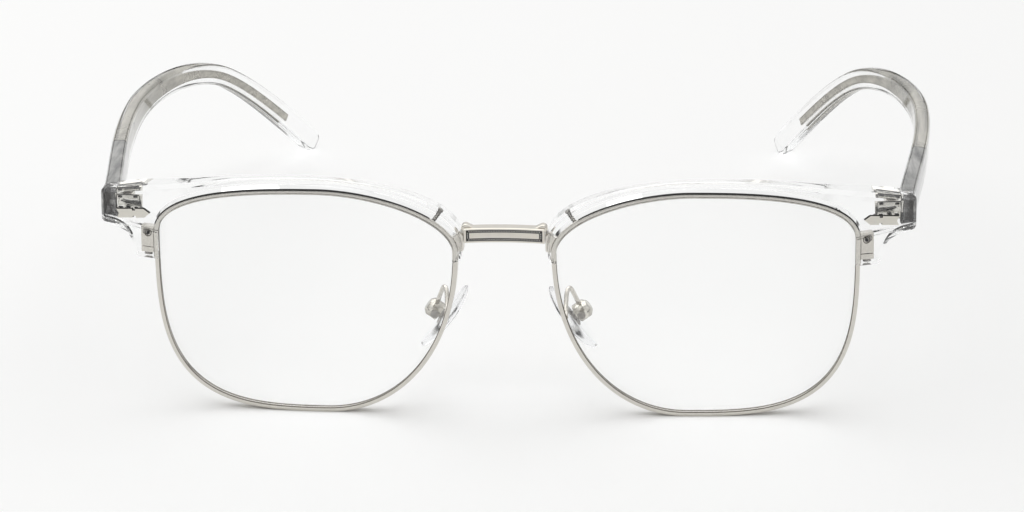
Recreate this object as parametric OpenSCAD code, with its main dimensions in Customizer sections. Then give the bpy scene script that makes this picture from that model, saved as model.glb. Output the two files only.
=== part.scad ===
// Browline glasses: clear acetate brows over wire rims, a cast metal bridge and cored temples.
// All sizes are millimetres. X runs across the face, Y from front to back and Z upwards.
// The glasses stand on Z = 0 on the rims and the temple tips. The wearer's left is +X.
// Shapes are drawn for the wearer's left and mirrored for the right.

/* [Lenses] */
// width of one lens
lens_w = 54; // [46:0.5:60]
// height of one lens
lens_h = 42.5; // [34:0.5:50]
// gap between the two lenses at the nose
lens_gap = 18; // [14:0.5:24]
// thickness of a lens
lens_t = 1.4; // [1:0.1:2.4]
// radius of the lens curve
curve_r = 130; // [90:1:260]
// how far each lens is turned outwards, in degrees
wrap = 2.5; // [0:0.5:6]

/* [Lens outline] */
// sideways place of the highest point, towards the temple from the lens centre
high_x = -2.7; // [-8:0.1:8]
// sideways place of the lowest point
low_x = -3.1; // [-8:0.1:8]
// height of the widest point on the temple side
side_z = 11.5; // [2:0.5:16]
// height of the widest point on the nose side
nose_z = 10; // [2:0.5:16]
// squareness of the upper temple corner
round_a = 2.4; // [1.5:0.05:4]
// squareness of the upper nose corner
round_b = 1.8; // [1.5:0.05:4]
// squareness of the lower nose corner
round_c = 2.1; // [1.5:0.05:4]
// squareness of the lower temple corner
round_d = 3.45; // [1.5:0.05:4]

/* [Rim] */
// how far the rim stands outside the lens edge
rim_out = 0.5; // [0.3:0.05:1]
// how far the rim laps over the lens face
rim_lap = 0.35; // [0.2:0.05:0.6]
// rim ahead of the lens front
rim_front = 0.35; // [0.2:0.05:1]
// rim behind the lens front
rim_back = 1.75; // [1.2:0.05:3]
// slack between fitted pieces
slack = 0.02; // [0.01:0.01:0.05]

/* [Brow] */
// brow above the lens top
brow_rise = 2.1; // [1.4:0.1:5]
// front face of the brow, ahead of the lens front
brow_front = 1.15; // [0.8:0.05:2]
// back face of the brow, behind the lens front
brow_back = 2.2; // [1.8:0.1:4]
// brow beyond the lens at the nose
nose_reach = 1.4; // [1.1:0.1:3]
// end piece beyond the lens at the temple
end_reach = 10.55; // [8:0.05:14]
// top of the end piece, below the top of the lens
end_drop = 2.1; // [1:0.1:5]
// height of the end piece
end_h = 6.4; // [5.8:0.1:8]
// end of the temple-side leg, above the lens centre
leg_z = 7.4; // [4:0.1:7.6]
// width of the leg beyond the lens
leg_w = 4.1; // [3.9:0.1:6]
// end of the brow at the nose, above the lens centre
nose_end_z = 8; // [4:0.1:9]
// sideways place of the brow's highest point
crest_x = 1.5; // [-3:0.5:4]
// width of the front bevel
bevel = 0.6; // [0.2:0.05:1]
// flat back of the end piece, behind the front of the lens centre
butt_y = 9.3; // [8.6:0.1:11]
// centre of the plaque, beyond the lens
plaque_x = 4.2; // [4:0.1:5]
// how far the plaque's tail dips, in degrees
plaque_dip = 6; // [0:1:8]
// length of the plaque
plaque_l = 6.5; // [5:0.1:7]
// height of the plaque
plaque_h = 1.6; // [1.4:0.02:2]

/* [Bridge] */
// height of the bridge bar
bridge_h = 2.75; // [2.4:0.05:5]
// top of the bridge above the lens centre
bridge_top = 14.55; // [8:0.05:18]
// radius of the bridge arch
arch_r = 120; // [40:5:300]
// front of the bar, behind the front of the lens centre
bridge_y = 1.6; // [1:0.1:3]
// thickness of the bar
bridge_t = 2; // [1.2:0.1:3]
// radius of one bead
bead_r = 0.19; // [0.15:0.01:0.3]
// spacing of the beads
bead_step = 0.45; // [0.42:0.01:0.8]

/* [Hinge] */
// hinge pin beyond the lens edge
pin_x = 5.9; // [5:0.1:7]
// hinge pin behind the flat back of the end piece
pin_y = 1.6; // [1.5:0.05:2.2]
// radius of the hinge barrels
barrel_r = 1.3; // [1:0.05:1.5]
// radius of the hinge screw
pin_r = 0.6; // [0.4:0.05:0.8]
// height of the hinge
hinge_h = 3.2; // [3:0.1:5]
// height of the middle barrel
mid_h = 1.3; // [1:0.1:2]
// play between barrels and around the screw
play = 0.05; // [0.03:0.01:0.08]

/* [Temples] */
// depth from the hinge end to the tip
temple_run = 127.4; // [110:0.2:140]
// depth from the hinge end to the bend
bend_run = 95; // [80:1:105]
// how far the temple bows outwards behind the hinge
temple_out = 5.2; // [2:0.1:8]
// how far the tip lies inside the hinge end
tip_in = 21.2; // [10:0.2:28]
// thickness at the hinge end
temple_t = 2.95; // [2.4:0.05:4]
// thickness at the tip
tip_t = 2.8; // [2:0.1:4]
// height at the hinge end
temple_h = 6.6; // [5.6:0.1:8]
// height where the temple bends
shaft_h = 4.3; // [3.6:0.1:6]
// height at the tip
tip_h = 5.2; // [4:0.1:8]
// thickness of the thick front part of the core
sleeve_t = 1.7; // [1.4:0.1:2]
// height of the thick front part of the core
sleeve_h = 4.6; // [3:0.1:5]
// length of the thick front part of the core
sleeve_l = 28; // [15:1:40]
// thickness of the core strip
core_t = 1.2; // [0.8:0.1:1.6]
// height of the core strip
core_h = 2.9; // [2:0.1:3.5]
// height of the core strip at its end
core_tip_h = 1.5; // [1:0.1:2]

/* [Nose pads] */
// centre of a pad beyond the lens edge at the nose, towards the temple
pad_in = 2.6; // [1.6:0.1:3.6]
// centre of a pad behind the front of the lens centre
pad_back = 11; // [10:0.1:12]
// centre of a pad below the lens centre
pad_drop = 6.45; // [4:0.05:9]
// how far a pad is splayed, in degrees
pad_splay = 37; // [25:1:45]
// how far a pad leans, in degrees
pad_lean = 6; // [0:1:12]
// length of a pad
pad_l = 14.4; // [12:0.2:16]
// width of a pad
pad_w = 7.6; // [6:0.2:9]
// thickness of a pad
pad_t = 2; // [1.6:0.1:2.6]
// radius of the pad faces' curve
pad_curve = 40; // [36:1:90]
// radius of the pad screw
pad_screw_r = 0.5; // [0.4:0.05:0.7]
// radius of the pad arm wire
arm_r = 0.42; // [0.35:0.01:0.6]

/* [Hidden] */
$fn = 48;
turn = 256;
half_w = lens_w / 2;
half_h = lens_h / 2;
lens_x = (lens_w + lens_gap) / 2;
rest_cut = 0.05;
lens_z = half_h + rim_out - rest_cut;
lip_s = -rim_front - slack;
front_s = -brow_front;
steps = 20;
end_x = half_w + end_reach;
end_top = half_h - end_drop;
end_low = end_top - end_h;
end_mid = (end_top + end_low) / 2 - 0.25;
hinge_z = end_mid + 0.2;
leg_x = half_w + leg_w;
nose_x = half_w + nose_reach;
pivot_x = half_w + pin_x;
pivot_y = butt_y + pin_y;
ridge_w = 0.5;
ridge_0 = (lens_t - ridge_w) / 2;
ridge_1 = ridge_0 + ridge_w;
fore = -4;
aft = 14;
metal = [0.78, 0.77, 0.74];
clear = [0.93, 0.95, 0.97, 0.45];

function mix(a, b, t) = a + (b - a) * t;

function bend(a, b, c, d, t) =
    a * pow(1 - t, 3) + b * 3 * t * pow(1 - t, 2) + c * 3 * t * t * (1 - t) + d * pow(t, 3);

function smooth(t) = t * t * (3 - 2 * t);

function unit(v) = v / norm(v);

// lens outline

function power(a, n) = pow(abs(a), 2 / n);

function spot(q) =
    let (k = floor(q), f = (q - k) * 90, i = ((k % 4) + 4) % 4)
    i == 0 ? [mix(high_x, half_w, power(cos(f), round_a)), mix(side_z, half_h, power(sin(f), round_a))]
    : i == 1 ? [mix(high_x, -half_w, power(sin(f), round_b)), mix(nose_z, half_h, power(cos(f), round_b))]
    : i == 2 ? [mix(low_x, -half_w, power(cos(f), round_c)), mix(nose_z, -half_h, power(sin(f), round_c))]
    : [mix(low_x, half_w, power(sin(f), round_d)), mix(side_z, -half_h, power(cos(f), round_d))];

function out_dir(q) =
    let (t = spot(q + 0.01) - spot(q - 0.01))
    [t[1], -t[0]] / norm(t);

function edge(q, d) = spot(q) + d * out_dir(q);

function loop(d) = [for (i = [0 : 4 * steps - 1]) edge(i / steps, d)];

// where the outline passes a given height, low on the temple side and low on the nose side
function q_temple(z) = acos(pow((side_z - z) / (half_h + side_z), round_d / 2)) / 90 - 1;
function q_nose(z) = 2 + asin(pow((nose_z - z) / (half_h + nose_z), round_c / 2)) / 90;
function q_upper_nose(z) = 1 + acos(pow((z - nose_z) / (half_h - nose_z), round_b / 2)) / 90;
function q_inner(z) = z > nose_z ? q_upper_nose(z) : q_nose(z);

// depth of the lens curve at a place on the lens
function sag(p) = curve_r - sqrt(curve_r * curve_r - p[0] * p[0] - p[1] * p[1]);
function deep(p, s) = [p[0], sag(p) + s, p[1]];

// a place in the lens frame, given in the frame of the pair
function in_pair(v) =
    [lens_x + v[0] * cos(wrap) - v[1] * sin(wrap), v[0] * sin(wrap) + v[1] * cos(wrap), lens_z + v[2]];

// frames

module lens_frame() {
    translate([lens_x, 0, lens_z]) rotate([0, 0, wrap]) children();
}

module on_lens(x, z, s = 0) {
    translate([x, sag([x, z]) + s, z])
        rotate([0, 0, asin(x / curve_r)]) rotate([-asin(z / curve_r), 0, 0]) children();
}

module wall(pts, y0, y1) {
    translate([0, y1, 0]) rotate([90, 0, 0]) linear_extrude(height = y1 - y0) polygon(pts);
}

module curved(s0, s1) {
    difference() {
        translate([0, curve_r + s0, 0]) sphere(r = curve_r, $fn = turn);
        translate([0, curve_r + s1, 0]) sphere(r = curve_r, $fn = turn);
    }
}

module slab(d, s0, s1) {
    intersection() {
        wall(loop(d), fore, aft);
        curved(s0, s1);
    }
}

// skin through a list of equal rings, closed by flat fans at both ends

function side_faces(n, k) = [
    for (i = [0 : n - 2])
        for (j = [0 : k - 1])
            let (a = i * k + j, b = i * k + (j + 1) % k)
            for (f = [[a, b, a + k], [b, b + k, a + k]])
                f
];

module tube(rings, cap) {
    n = len(rings);
    k = len(rings[0]);
    polyhedron(
        points = [for (r = rings) for (p = r) p],
        faces = concat(
            side_faces(n, k), cap, [for (f = cap) [for (v = [2, 1, 0]) f[v] + (n - 1) * k]]));
}

function fan(k) = [for (j = [1 : k - 2]) [0, j + 1, j]];

// rim and lens

module rim_shape() {
    difference() {
        lens_frame() {
            difference() {
                intersection() {
                    difference() {
                        wall(loop(rim_out), fore, aft);
                        wall(loop(-rim_lap), fore - 1, aft + 1);
                    }
                    curved(-rim_front, rim_back);
                }
                slab(slack, ridge_0 - slack, ridge_1 + slack);
                on_lens(half_w, split_z) translate([-2, fore, -slack]) cube([4, 9, 2 * slack]);
                brow_screw_place() cylinder(r = brow_screw_r + slack, h = 2);
            }
        }
        translate([0, -lens_w / 2, -rim_out]) cube([2 * lens_x, lens_w, rim_out]);
    }
}

module lens_shape() {
    lens_frame() {
        slab(-rim_lap - slack, 0, lens_t);
        slab(0, ridge_0, ridge_1);
    }
}

// brow outline, from the leg over the end piece and the top to the nose

under_n = 12;
top_n = 20;
nose_n = 20;
tip_n = 6;
corner = 0.95;

q_leg = q_temple(leg_z);
q_tip = q_nose(nose_end_z);

crest = [crest_x, half_h + brow_rise];
shoulder = [end_x - corner + corner * cos(81), end_top - corner + corner * sin(81)];
nose_top = [-nose_x, nose_end_z + 3.5];
nose_tip = [-half_w - rim_out - 0.18, nose_end_z];
nose_q = 1.89;

// each station holds the outer point, the place on the lens outline, the bevel and the back depth
function back_at(p, t) = mix(brow_back, butt_y - sag(p), t);

stations = concat(
    [for (i = [0 : under_n - 1])
        let (t = i / under_n,
            a = [leg_x, leg_z],
            d = [end_x - corner, end_low],
            p = bend(a, a + [0.2, 3.4], d + [-3.65, -0.5], d, t))
        [p, mix(q_leg, 0.03, t), bevel * mix(1, 1.8, smooth(t)), back_at(p, smooth(t))]],
    [for (i = [0 : 4])
        let (p = [end_x - corner + corner * sin(i * 22.5), end_low + corner - corner * cos(i * 22.5)])
        [p, 0.03 + 0.005 * i, bevel * mix(1.8, 1, i / 4), back_at(p, 1)]],
    [for (i = [0 : 4])
        let (p = [end_x - corner + corner * cos(i * 20.25), end_top - corner + corner * sin(i * 20.25)])
        [p, 0.085 + 0.01 * i, bevel, back_at(p, 1)]],
    [for (i = [1 : top_n])
        let (t = i / top_n,
            p = bend(shoulder, shoulder + [-11.2, 1.78], crest + [12, 0], crest, t))
        [p, mix(0.13, 0.95, t), bevel, back_at(p, 1 - smooth(min(1, t / 0.5)))]],
    [for (i = [1 : nose_n])
        let (t = i / nose_n,
            p = bend(crest, crest + [-17, 0], nose_top + [0, 7.5], nose_top, t))
        [p, 0.95 + 1.16 * t - 0.22 * t * t, bevel, brow_back]],
    [for (i = [1 : tip_n])
        let (t = i / tip_n,
            p = bend(nose_top, nose_top + [0, -1.6], nose_top + [0.2, -2.8], nose_tip, t))
        [p, mix(nose_q, q_tip, t), bevel, brow_back]]);

function brow_ring(i) =
    let (m = len(stations) - 1,
        p = stations[i][0],
        q = stations[i][1],
        t = stations[min(i + 1, m)][0] - stations[max(i - 1, 0)][0],
        o = [t[1], -t[0]] / norm(t),
        c = edge(q, -rim_lap),
        d = edge(q, rim_out + slack),
        w = norm(p - c),
        b = min(stations[i][2], 0.4 * w),
        g = min(0.3, 0.5 * norm(p - d)),
        back = stations[i][3])
    [deep(c, lip_s), deep(c, front_s + 0.2), deep(edge(q, -rim_lap + 0.2), front_s), deep(p - b * o, front_s),
        deep(p, front_s + 0.9), deep(p, back - 0.3), deep(p - g * o, back), deep(d, brow_back), deep(d, lip_s)];

brow_cap = [[0, 2, 1], [0, 3, 2], [0, 8, 3], [3, 8, 4], [4, 8, 5], [5, 8, 7], [5, 7, 6]];

module brow_blank() {
    tube([for (i = [len(stations) - 1 : -1 : 0]) brow_ring(i)], brow_cap);
    translate([half_w + 2.2, butt_y - 3.1, end_mid - end_h / 2 + 0.75])
        cube([end_reach - 2.85, 3.1, end_h - 1.5]);
}

module brow_shape() {
    lens_frame() difference() {
        brow_blank();
        lock_block(leg_z - 1, lock_top + 0.05, 0.05, 9);
        wall([for (p = lug_outline) p + [0, p[1] > lug_mid ? 0.05 : -0.05]], lug_y0 - 0.05, aft);
        brow_screw_place() {
            cylinder(r = brow_screw_r + slack, h = 3);
            translate([0, 0, brow_screw_l - slack]) cylinder(r = brow_screw_r + 0.28 + slack, h = 3);
        }
        rivet_place() translate([0, -rivet_ahead - slack, 0])
            rotate([-90, 0, 0]) cylinder(r = rivet_r + slack, h = 6);
        plaque_place() {
            wall(plaque_outline(0.03), -1, plaque_deep + slack);
            plaque_pins(plaque_pin_r + slack, 9);
        }
        leaf_block(0.02);
    }
}

// closing block, its screw and the rivet that holds it in the brow

lock_z = leg_z + 0.85;
split_z = lock_z + 1.05;
lock_top = split_z + 3.9;
lock_mid = (split_z + lock_z) / 2;
lock_r = 0.45;
lock_w = leg_w - 1.3;
lock_side = 1.1;
lock_y = 0.7;
cut_half = 0.06;

module lock_place() {
    on_lens(half_w + lock_w - lock_side, lock_mid) children();
}

module lock_block(z0, z1, grow, back) {
    inward = lock_w + 0.7;
    lock_place() translate([-inward, -rim_front - grow / 2, z0 - lock_mid])
        cube([inward + lock_side + grow, back + rim_front, z1 - z0]);
}

module lock_part(z0, z1) {
    lens_frame() difference() {
        lock_block(z0, z1, 0, rim_back);
        wall(loop(rim_out + slack), fore, aft);
        lock_place() translate([0, lock_y, -3]) cylinder(r = lock_r + slack, h = 5.1);
        rivet_place() translate([0, -3, 0]) rotate([-90, 0, 0]) cylinder(r = rivet_r + slack, h = 8);
    }
}

module lock_screw_shape() {
    lens_frame() lock_place() translate([0, lock_y, lock_z - lock_mid - slack]) difference() {
        union() {
            translate([0, 0, -0.2]) cylinder(r = lock_r, h = 2.6);
            translate([0, 0, -0.5]) cylinder(r = lock_r + 0.3, h = 0.5);
        }
        slot(-0.7);
    }
}

// slot of a screw head
module slot(z) {
    translate([-1, -slot_w / 2, z]) cube([2, slot_w, 0.4]);
}

slot_w = 0.24;
rivet_r = 0.53;
rivet_ahead = 0.6;
rivet_head_y = rim_back + 0.1;
rivet_head_t = 0.45;

module rivet_place() {
    on_lens(half_w + lock_w - 0.9, lock_top - 1.1) children();
}

module rivet_shape() {
    lens_frame() rivet_place() {
        translate([0, -rivet_ahead, 0])
            rotate([-90, 0, 0]) cylinder(r = rivet_r, h = rivet_ahead + rivet_head_y + rivet_head_t);
        translate([0, rivet_head_y, 0])
            rotate([-90, 0, 0]) cylinder(r = rivet_r + 0.27, h = rivet_head_t);
    }
}

// screw that holds the rim in the brow near the nose

brow_screw_q = 1.65;
brow_screw_r = 0.42;
brow_screw_l = 1.97;

module brow_screw_place() {
    p = edge(brow_screw_q, 0.1);
    n = out_dir(brow_screw_q);
    translate(deep(p, lens_t / 2)) rotate([0, atan2(n[0], n[1]), 0]) children();
}

module brow_screw_shape() {
    lens_frame() brow_screw_place() {
        cylinder(r = brow_screw_r, h = brow_screw_l + 0.1);
        difference() {
            translate([0, 0, brow_screw_l]) cylinder(r = brow_screw_r + 0.28, h = 0.45);
            slot(brow_screw_l + 0.28);
        }
    }
}

// bridge and its lugs

bridge_gap = 0.38;
bridge_half = lens_gap / 2 - nose_reach - bridge_gap;
lug_mid = bridge_top - 3.05;
lug_y0 = 3.15;
lug_y1 = 5.25;
rim_in = -spot(q_inner(lug_mid))[0];
lug_end = (lens_x - bridge_half - slack - lug_y1 * sin(wrap)) / cos(wrap);
lug_outline = [
    [-rim_in + 0.7, lug_mid - 1.6], [-rim_in + 0.7, lug_mid + 0.9], [-rim_in + 0.1, lug_mid + 1.05],
    [-rim_in - 1.15, lug_mid + 2.1], [-lug_end, lug_mid + 1.4], [-lug_end, lug_mid - 1.4],
    [-lug_end + 0.25, lug_mid - 1.6]];

module lug_shape() {
    lens_frame() difference() {
        wall(lug_outline, lug_y0, lug_y1);
        wall(loop(rim_out + slack), fore, aft);
    }
}

arch_z = lens_z + bridge_top - arch_r;

module arc_band(r0, r1, x, y0, y1) {
    intersection() {
        translate([0, y1, arch_z]) rotate([90, 0, 0]) difference() {
            cylinder(r = r1, h = y1 - y0, $fn = turn);
            translate([0, 0, -1]) cylinder(r = r0, h = y1 - y0 + 2, $fn = turn);
        }
        translate([-x, y0 - 1, lens_z]) cube([2 * x, y1 - y0 + 2, lens_h]);
    }
}

module bead_row(r) {
    m = floor((bridge_half - 0.75) / bead_step);
    for (i = [-m : m])
        translate([0, bridge_y + bead_y, arch_z])
            rotate([0, i * bead_step / r * 180 / PI, 0]) translate([0, 0, r]) sphere(r = bead_r, $fn = 16);
}

bead_y = 0.15;
bead_in = 0.58;
bead_mid = lens_z + bridge_top - bridge_h / 2 - 0.2;
border = 0.3;
channel = 0.55;
ear_r = 0.8;
ear_run = 1.3;

module ear(in, down, r) {
    translate([bridge_half - 0.3 - in, bridge_y + bridge_t, lens_z + bridge_top - 0.35 - down])
        rotate([90, 0, 0]) cylinder(r = r, h = bridge_t - 0.5);
}

module bridge_shape() {
    r = arch_r;
    difference() {
        union() {
            arc_band(r - bridge_h, r, bridge_half, bridge_y, bridge_y + bridge_t);
            for (s = [0, 1])
                mirror([s, 0, 0]) hull() {
                    ear(0, 0, ear_r);
                    ear(ear_run, ear_r / 4, ear_r / 2);
                }
        }
        difference() {
            arc_band(r - bridge_h + border, r - border, bridge_half - 0.4, bridge_y - 1, bridge_y + 0.2);
            arc_band(r - bridge_h + border + channel, r - border - channel, bridge_half - 0.4 - channel,
                bridge_y - 2, bridge_y + 1);
        }
    }
    bead_row(r - bead_in);
    bead_row(r - bridge_h + bead_in);
    for (s = [-1, 1])
        for (k = [-1 : 1])
            translate([s * (bridge_half - 0.66), bridge_y + bead_y, bead_mid + k * 0.41])
                sphere(r = bead_r, $fn = 16);
}

// ornament on the front of the end piece

plaque_deep = 0.45;
plaque_pin_r = 0.4;
neck_x = 0.3;

module plaque_place() {
    on_lens(half_w + plaque_x, end_mid + 0.05 - plaque_l / 2 * sin(plaque_dip), front_s + 0.05)
        rotate([0, plaque_dip, 0]) children();
}

// arrow with a neck and a notched tail, grown by g
function plaque_outline(g) =
    let (a = plaque_l / 2, h = plaque_h / 2, low = h - 0.3)
    [[-a - g, 0], [1.1 - a, h + g], [-neck_x - 0.2 + g, h + g], [-neck_x - 0.2 + g, low + g],
        [neck_x - 0.2 - g, low + g], [neck_x - 0.2 - g, h + g], [a + g, h + g], [a - 0.45 + g, 0],
        [a + g, -h - g], [neck_x - 0.2 - g, -h - g], [neck_x - 0.2 - g, -low - g],
        [-neck_x - 0.2 + g, -low - g], [-neck_x - 0.2 + g, -h - g], [1.1 - a, -h - g]];

module plaque_pins(r, back) {
    for (x = [-plaque_l / 5, plaque_l / 4])
        translate([x, 0.2, 0]) rotate([-90, 0, -asin((half_w + plaque_x) / curve_r)]) cylinder(r = r, h = back);
}

module plaque_shape() {
    lens_frame() {
        plaque_place() wall(plaque_outline(0), -0.15, plaque_deep);
        difference() {
            plaque_place() plaque_pins(plaque_pin_r, leaf_y);
            translate([half_w, leaf_y - slack, 0]) cube([end_reach + 2, aft, lens_h]);
        }
    }
}

// hinge, drawn in the lens frame

leaf_t = 1.1;
leaf_y = butt_y - leaf_t;
leaf_x0 = pivot_x - 3;
leaf_x1 = pivot_x + 1.6;
low_z = hinge_z - hinge_h / 2;
high_z = hinge_z + hinge_h / 2;

module leaf_block(grow) {
    translate([leaf_x0 - grow, leaf_y - grow, low_z - grow])
        cube([leaf_x1 - leaf_x0 + 2 * grow, leaf_t + grow + (grow > 0 ? 3 : 0), hinge_h + 2 * grow]);
}

module barrel(z0, z1) {
    translate([pivot_x, pivot_y, z0]) cylinder(r = barrel_r, h = z1 - z0);
}

module front_hinge_shape() {
    cheek = (hinge_h - mid_h) / 2 - play;
    lens_frame() difference() {
        union() {
            leaf_block(0);
            for (z = [low_z, high_z - cheek]) {
                barrel(z, z + cheek);
                translate([pivot_x - 0.95, butt_y - 0.3, z]) cube([1.9, pin_y + 0.3, cheek]);
            }
        }
        translate([pivot_x, pivot_y, low_z - 1]) cylinder(r = pin_r + play, h = hinge_h + 2);
        translate([pivot_x, pivot_y, low_z + cheek]) cylinder(r = barrel_r + 0.3, h = mid_h + 2 * play);
    }
}

module hinge_screw_shape() {
    lens_frame() translate([pivot_x, pivot_y, 0]) difference() {
        union() {
            translate([0, 0, low_z]) cylinder(r = pin_r, h = hinge_h + 0.1);
            translate([0, 0, high_z + slack]) cylinder(r = pin_r + 0.35, h = 0.4);
        }
        slot(high_z + 0.22);
    }
}

// temples: a centreline with a tangent, used by the shell, the strip and its thick front part

temple_mid = end_x - temple_t / 2 - slack;
tip_z = 0.9;
tip_reach = 0.916;
butt = in_pair([temple_mid, butt_y + 0.12, end_mid]);
mid_y = (butt[1] + temple_run + tip_reach) / 2;

// a place on the centreline: sideways from the hinge end, behind it, and up from the tip to it
function place(out, back, up) = [butt[0] + out, butt[1] + back, mix(tip_z, butt[2], up)];

// widest place of the centreline and the place where it bends
wide = place(temple_out, 0.6 * bend_run, 0.895);
bent = place(-0.235 * tip_in, bend_run, 0.745);
tip_run = temple_run - bend_run;

path_a = [butt, place(0.4 * temple_out, 0.2 * bend_run, 0.967),
    place(temple_out + 0.1, 0.4 * bend_run, 0.926), wide];
path_b = [wide, place(temple_out - 0.1, 0.77 * bend_run, 0.865),
    place(0, 0.905 * bend_run, 0.862), bent];
path_c = [bent, place(-0.435 * tip_in, bend_run + 0.236 * tip_run, 0.645),
    place(-0.727 * tip_in, bend_run + 0.636 * tip_run, 0.3), place(-tip_in, temple_run, 0)];

function on_path(g) =
    g < 1 ? bend(path_a[0], path_a[1], path_a[2], path_a[3], g)
    : g < 2 ? bend(path_b[0], path_b[1], path_b[2], path_b[3], g - 1)
    : bend(path_c[0], path_c[1], path_c[2], path_c[3], g - 2);

function along(g) = g < 0.05 ? [-sin(wrap), cos(wrap), 0] : unit(on_path(min(3, g + 0.01)) - on_path(g - 0.01));

// ring of twelve points round the centreline, w thick and h high, with rounded corners of radius c
function ring12(w, h, c) = [
    for (k = [[1, -1], [1, 1], [-1, 1], [-1, -1]])
        for (m = k[0] * k[1] > 0 ? [[0, 1], [0.29, 0.29], [1, 0]] : [[1, 0], [0.29, 0.29], [0, 1]])
            [k[0] * (w / 2 - c * m[0]), k[1] * (h / 2 - c * m[1])]];

function place_ring(g, pts, shift = 0) =
    let (t = along(g), o = unit(cross(t, [0, 0, 1])), u = cross(o, t), p = on_path(g))
    [for (v = pts) p + (v[0] + shift) * o + v[1] * u];

function height_at(g) = g < 2 ? mix(temple_h, shaft_h, smooth(g / 2)) : mix(shaft_h, tip_h, smooth(g - 2));
function core_high(g) = mix(core_h, core_tip_h, smooth(min(1, max(0, g - 1))));
function thick_at(g) = mix(temple_t, tip_t, g / 3);

shell_n = 34;
sleeve_g = sleeve_l / norm(wide - butt);
core_end = 2.7;
core_c = 0.25;
sleeve_n = 7;
core_n = 22;

sleeve_rings = [for (i = [0 : sleeve_n]) i / sleeve_n * sleeve_g];
core_rings = [for (i = [0 : core_n]) mix(sleeve_g + 0.002, core_end, i / core_n)];

module temple_shape() {
    outer = concat(
        [for (i = [0 : shell_n])
            let (g = 2.9 * i / shell_n) place_ring(g, ring12(thick_at(g), height_at(g), 0.8))],
        [for (k = [[2.955, 0.93, 0.9], [2.985, 0.78, 0.7], [3, 0.55, 0.45]])
            place_ring(k[0], ring12(tip_t * k[1], tip_h * k[1], 0.8 * k[2]))]);
    inner = concat(
        [for (g = sleeve_rings) place_ring(g, ring12(sleeve_t + 2 * slack, sleeve_h + 2 * slack, core_c))],
        [for (g = core_rings) place_ring(g, ring12(core_t + 2 * slack, core_high(g) + 2 * slack, core_c))],
        [place_ring(core_end + 0.01, ring12(core_t + 2 * slack, core_tip_h + 2 * slack, core_c))]);
    k = 12;
    n = len(outer);
    m = len(inner);
    base = n * k;
    difference() {
        polyhedron(
            points = concat([for (r = outer) for (p = r) p], [for (r = inner) for (p = r) p]),
            faces = concat(
                side_faces(n, k),
                [for (f = side_faces(m, k)) [for (v = [2, 1, 0]) f[v] + base]],
                [for (j = [0 : k - 1])
                    let (i = (j + 1) % k)
                    for (f = [[j, base + j, i], [i, base + j, base + i]]) f],
                [for (f = fan(k)) [for (v = [2, 1, 0]) f[v] + (n - 1) * k]],
                [for (f = fan(k)) f + [1, 1, 1] * (base + (m - 1) * k)]));
        lens_frame() temple_leaf_block(0.03);
        translate([0, bent[1], -tip_h]) cube([2 * lens_x + temple_out, temple_run, tip_h]);
    }
}

module sleeve_shape() {
    tube([for (g = sleeve_rings) place_ring(g, ring12(sleeve_t, sleeve_h, core_c))], fan(12));
}

module core_shape() {
    tube([for (g = core_rings) place_ring(g + 0.002, ring12(core_t, core_high(g), core_c))], fan(12));
}

temple_in = temple_mid - temple_t / 2;

module temple_leaf_block(grow) {
    translate([temple_in - (grow > 0 ? 1 : 0.02), butt_y + 0.75 - grow, hinge_z - mid_h / 2 - 0.6 - grow])
        cube([(grow > 0 ? 1 : 0.02) + 0.6 + grow, 3.2 + 2 * grow, mid_h + 1.2 + 2 * grow]);
}

module temple_hinge_shape() {
    lens_frame() difference() {
        union() {
            temple_leaf_block(0);
            barrel(hinge_z - mid_h / 2, hinge_z + mid_h / 2);
            translate([pivot_x, pivot_y, hinge_z - mid_h / 2])
                cube([temple_in - pivot_x + 0.1, barrel_r, mid_h]);
        }
        translate([pivot_x, pivot_y, low_z]) cylinder(r = pin_r + play, h = hinge_h);
    }
}

// nose pads

pad_at = [lens_gap / 2 + pad_in, pad_back, lens_z - pad_drop];
screw_x = pad_t / 2 + 1.2;
screw_z = 0.1;
box_x = pad_t / 2 + 0.35;
box_r = 1.75;

module pad_frame() {
    translate(pad_at) rotate([pad_lean, -pad_splay, 0]) children();
}

module screw_frame() {
    pad_frame() translate([screw_x, 0, screw_z]) rotate([90, 0, 0]) children();
}

module pad_tab(grow) {
    translate([-0.1 - grow, -0.9 - grow, screw_z - 1.8 - grow])
        cube([0.7 + 2 * grow, 1.8 + 2 * grow, 3.6 + 2 * grow]);
    translate([0, -0.7 - grow, screw_z - 0.7 - grow]) cube([screw_x, 1.4 + 2 * grow, 1.4 + 2 * grow]);
}

module pad_shape() {
    pad_frame() difference() {
        intersection() {
            translate([-pad_t / 2, 0, 0]) rotate([90, 0, 90]) linear_extrude(height = pad_t)
                polygon([for (a = [0 : 9 : 351])
                    [pad_w / 2 * cos(a), pad_l / 2 * sin(a) * (1 + 0.04 * cos(a))]]);
            translate([pad_curve - pad_t / 2, 0, 0]) sphere(r = pad_curve, $fn = turn);
            translate([pad_t / 2 - pad_curve, 0, 0]) sphere(r = pad_curve, $fn = turn);
        }
        pad_tab(slack);
    }
}

module pad_insert_shape() {
    difference() {
        union() {
            pad_frame() pad_tab(0);
            screw_frame() translate([0, 0, -0.7]) cylinder(r = 0.95, h = 1.4);
        }
        screw_frame() translate([0, 0, -3]) cylinder(r = pad_screw_r + play, h = 6);
    }
}

module pad_box_form(grow) {
    pad_frame() translate([box_x, 0, screw_z]) rotate([0, 90, 0]) {
        cylinder(r = box_r + grow, h = 2);
        translate([0, 0, 2]) cylinder(r1 = box_r + grow, r2 = box_r - 0.6 + grow, h = 0.65 + grow);
    }
}

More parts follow.
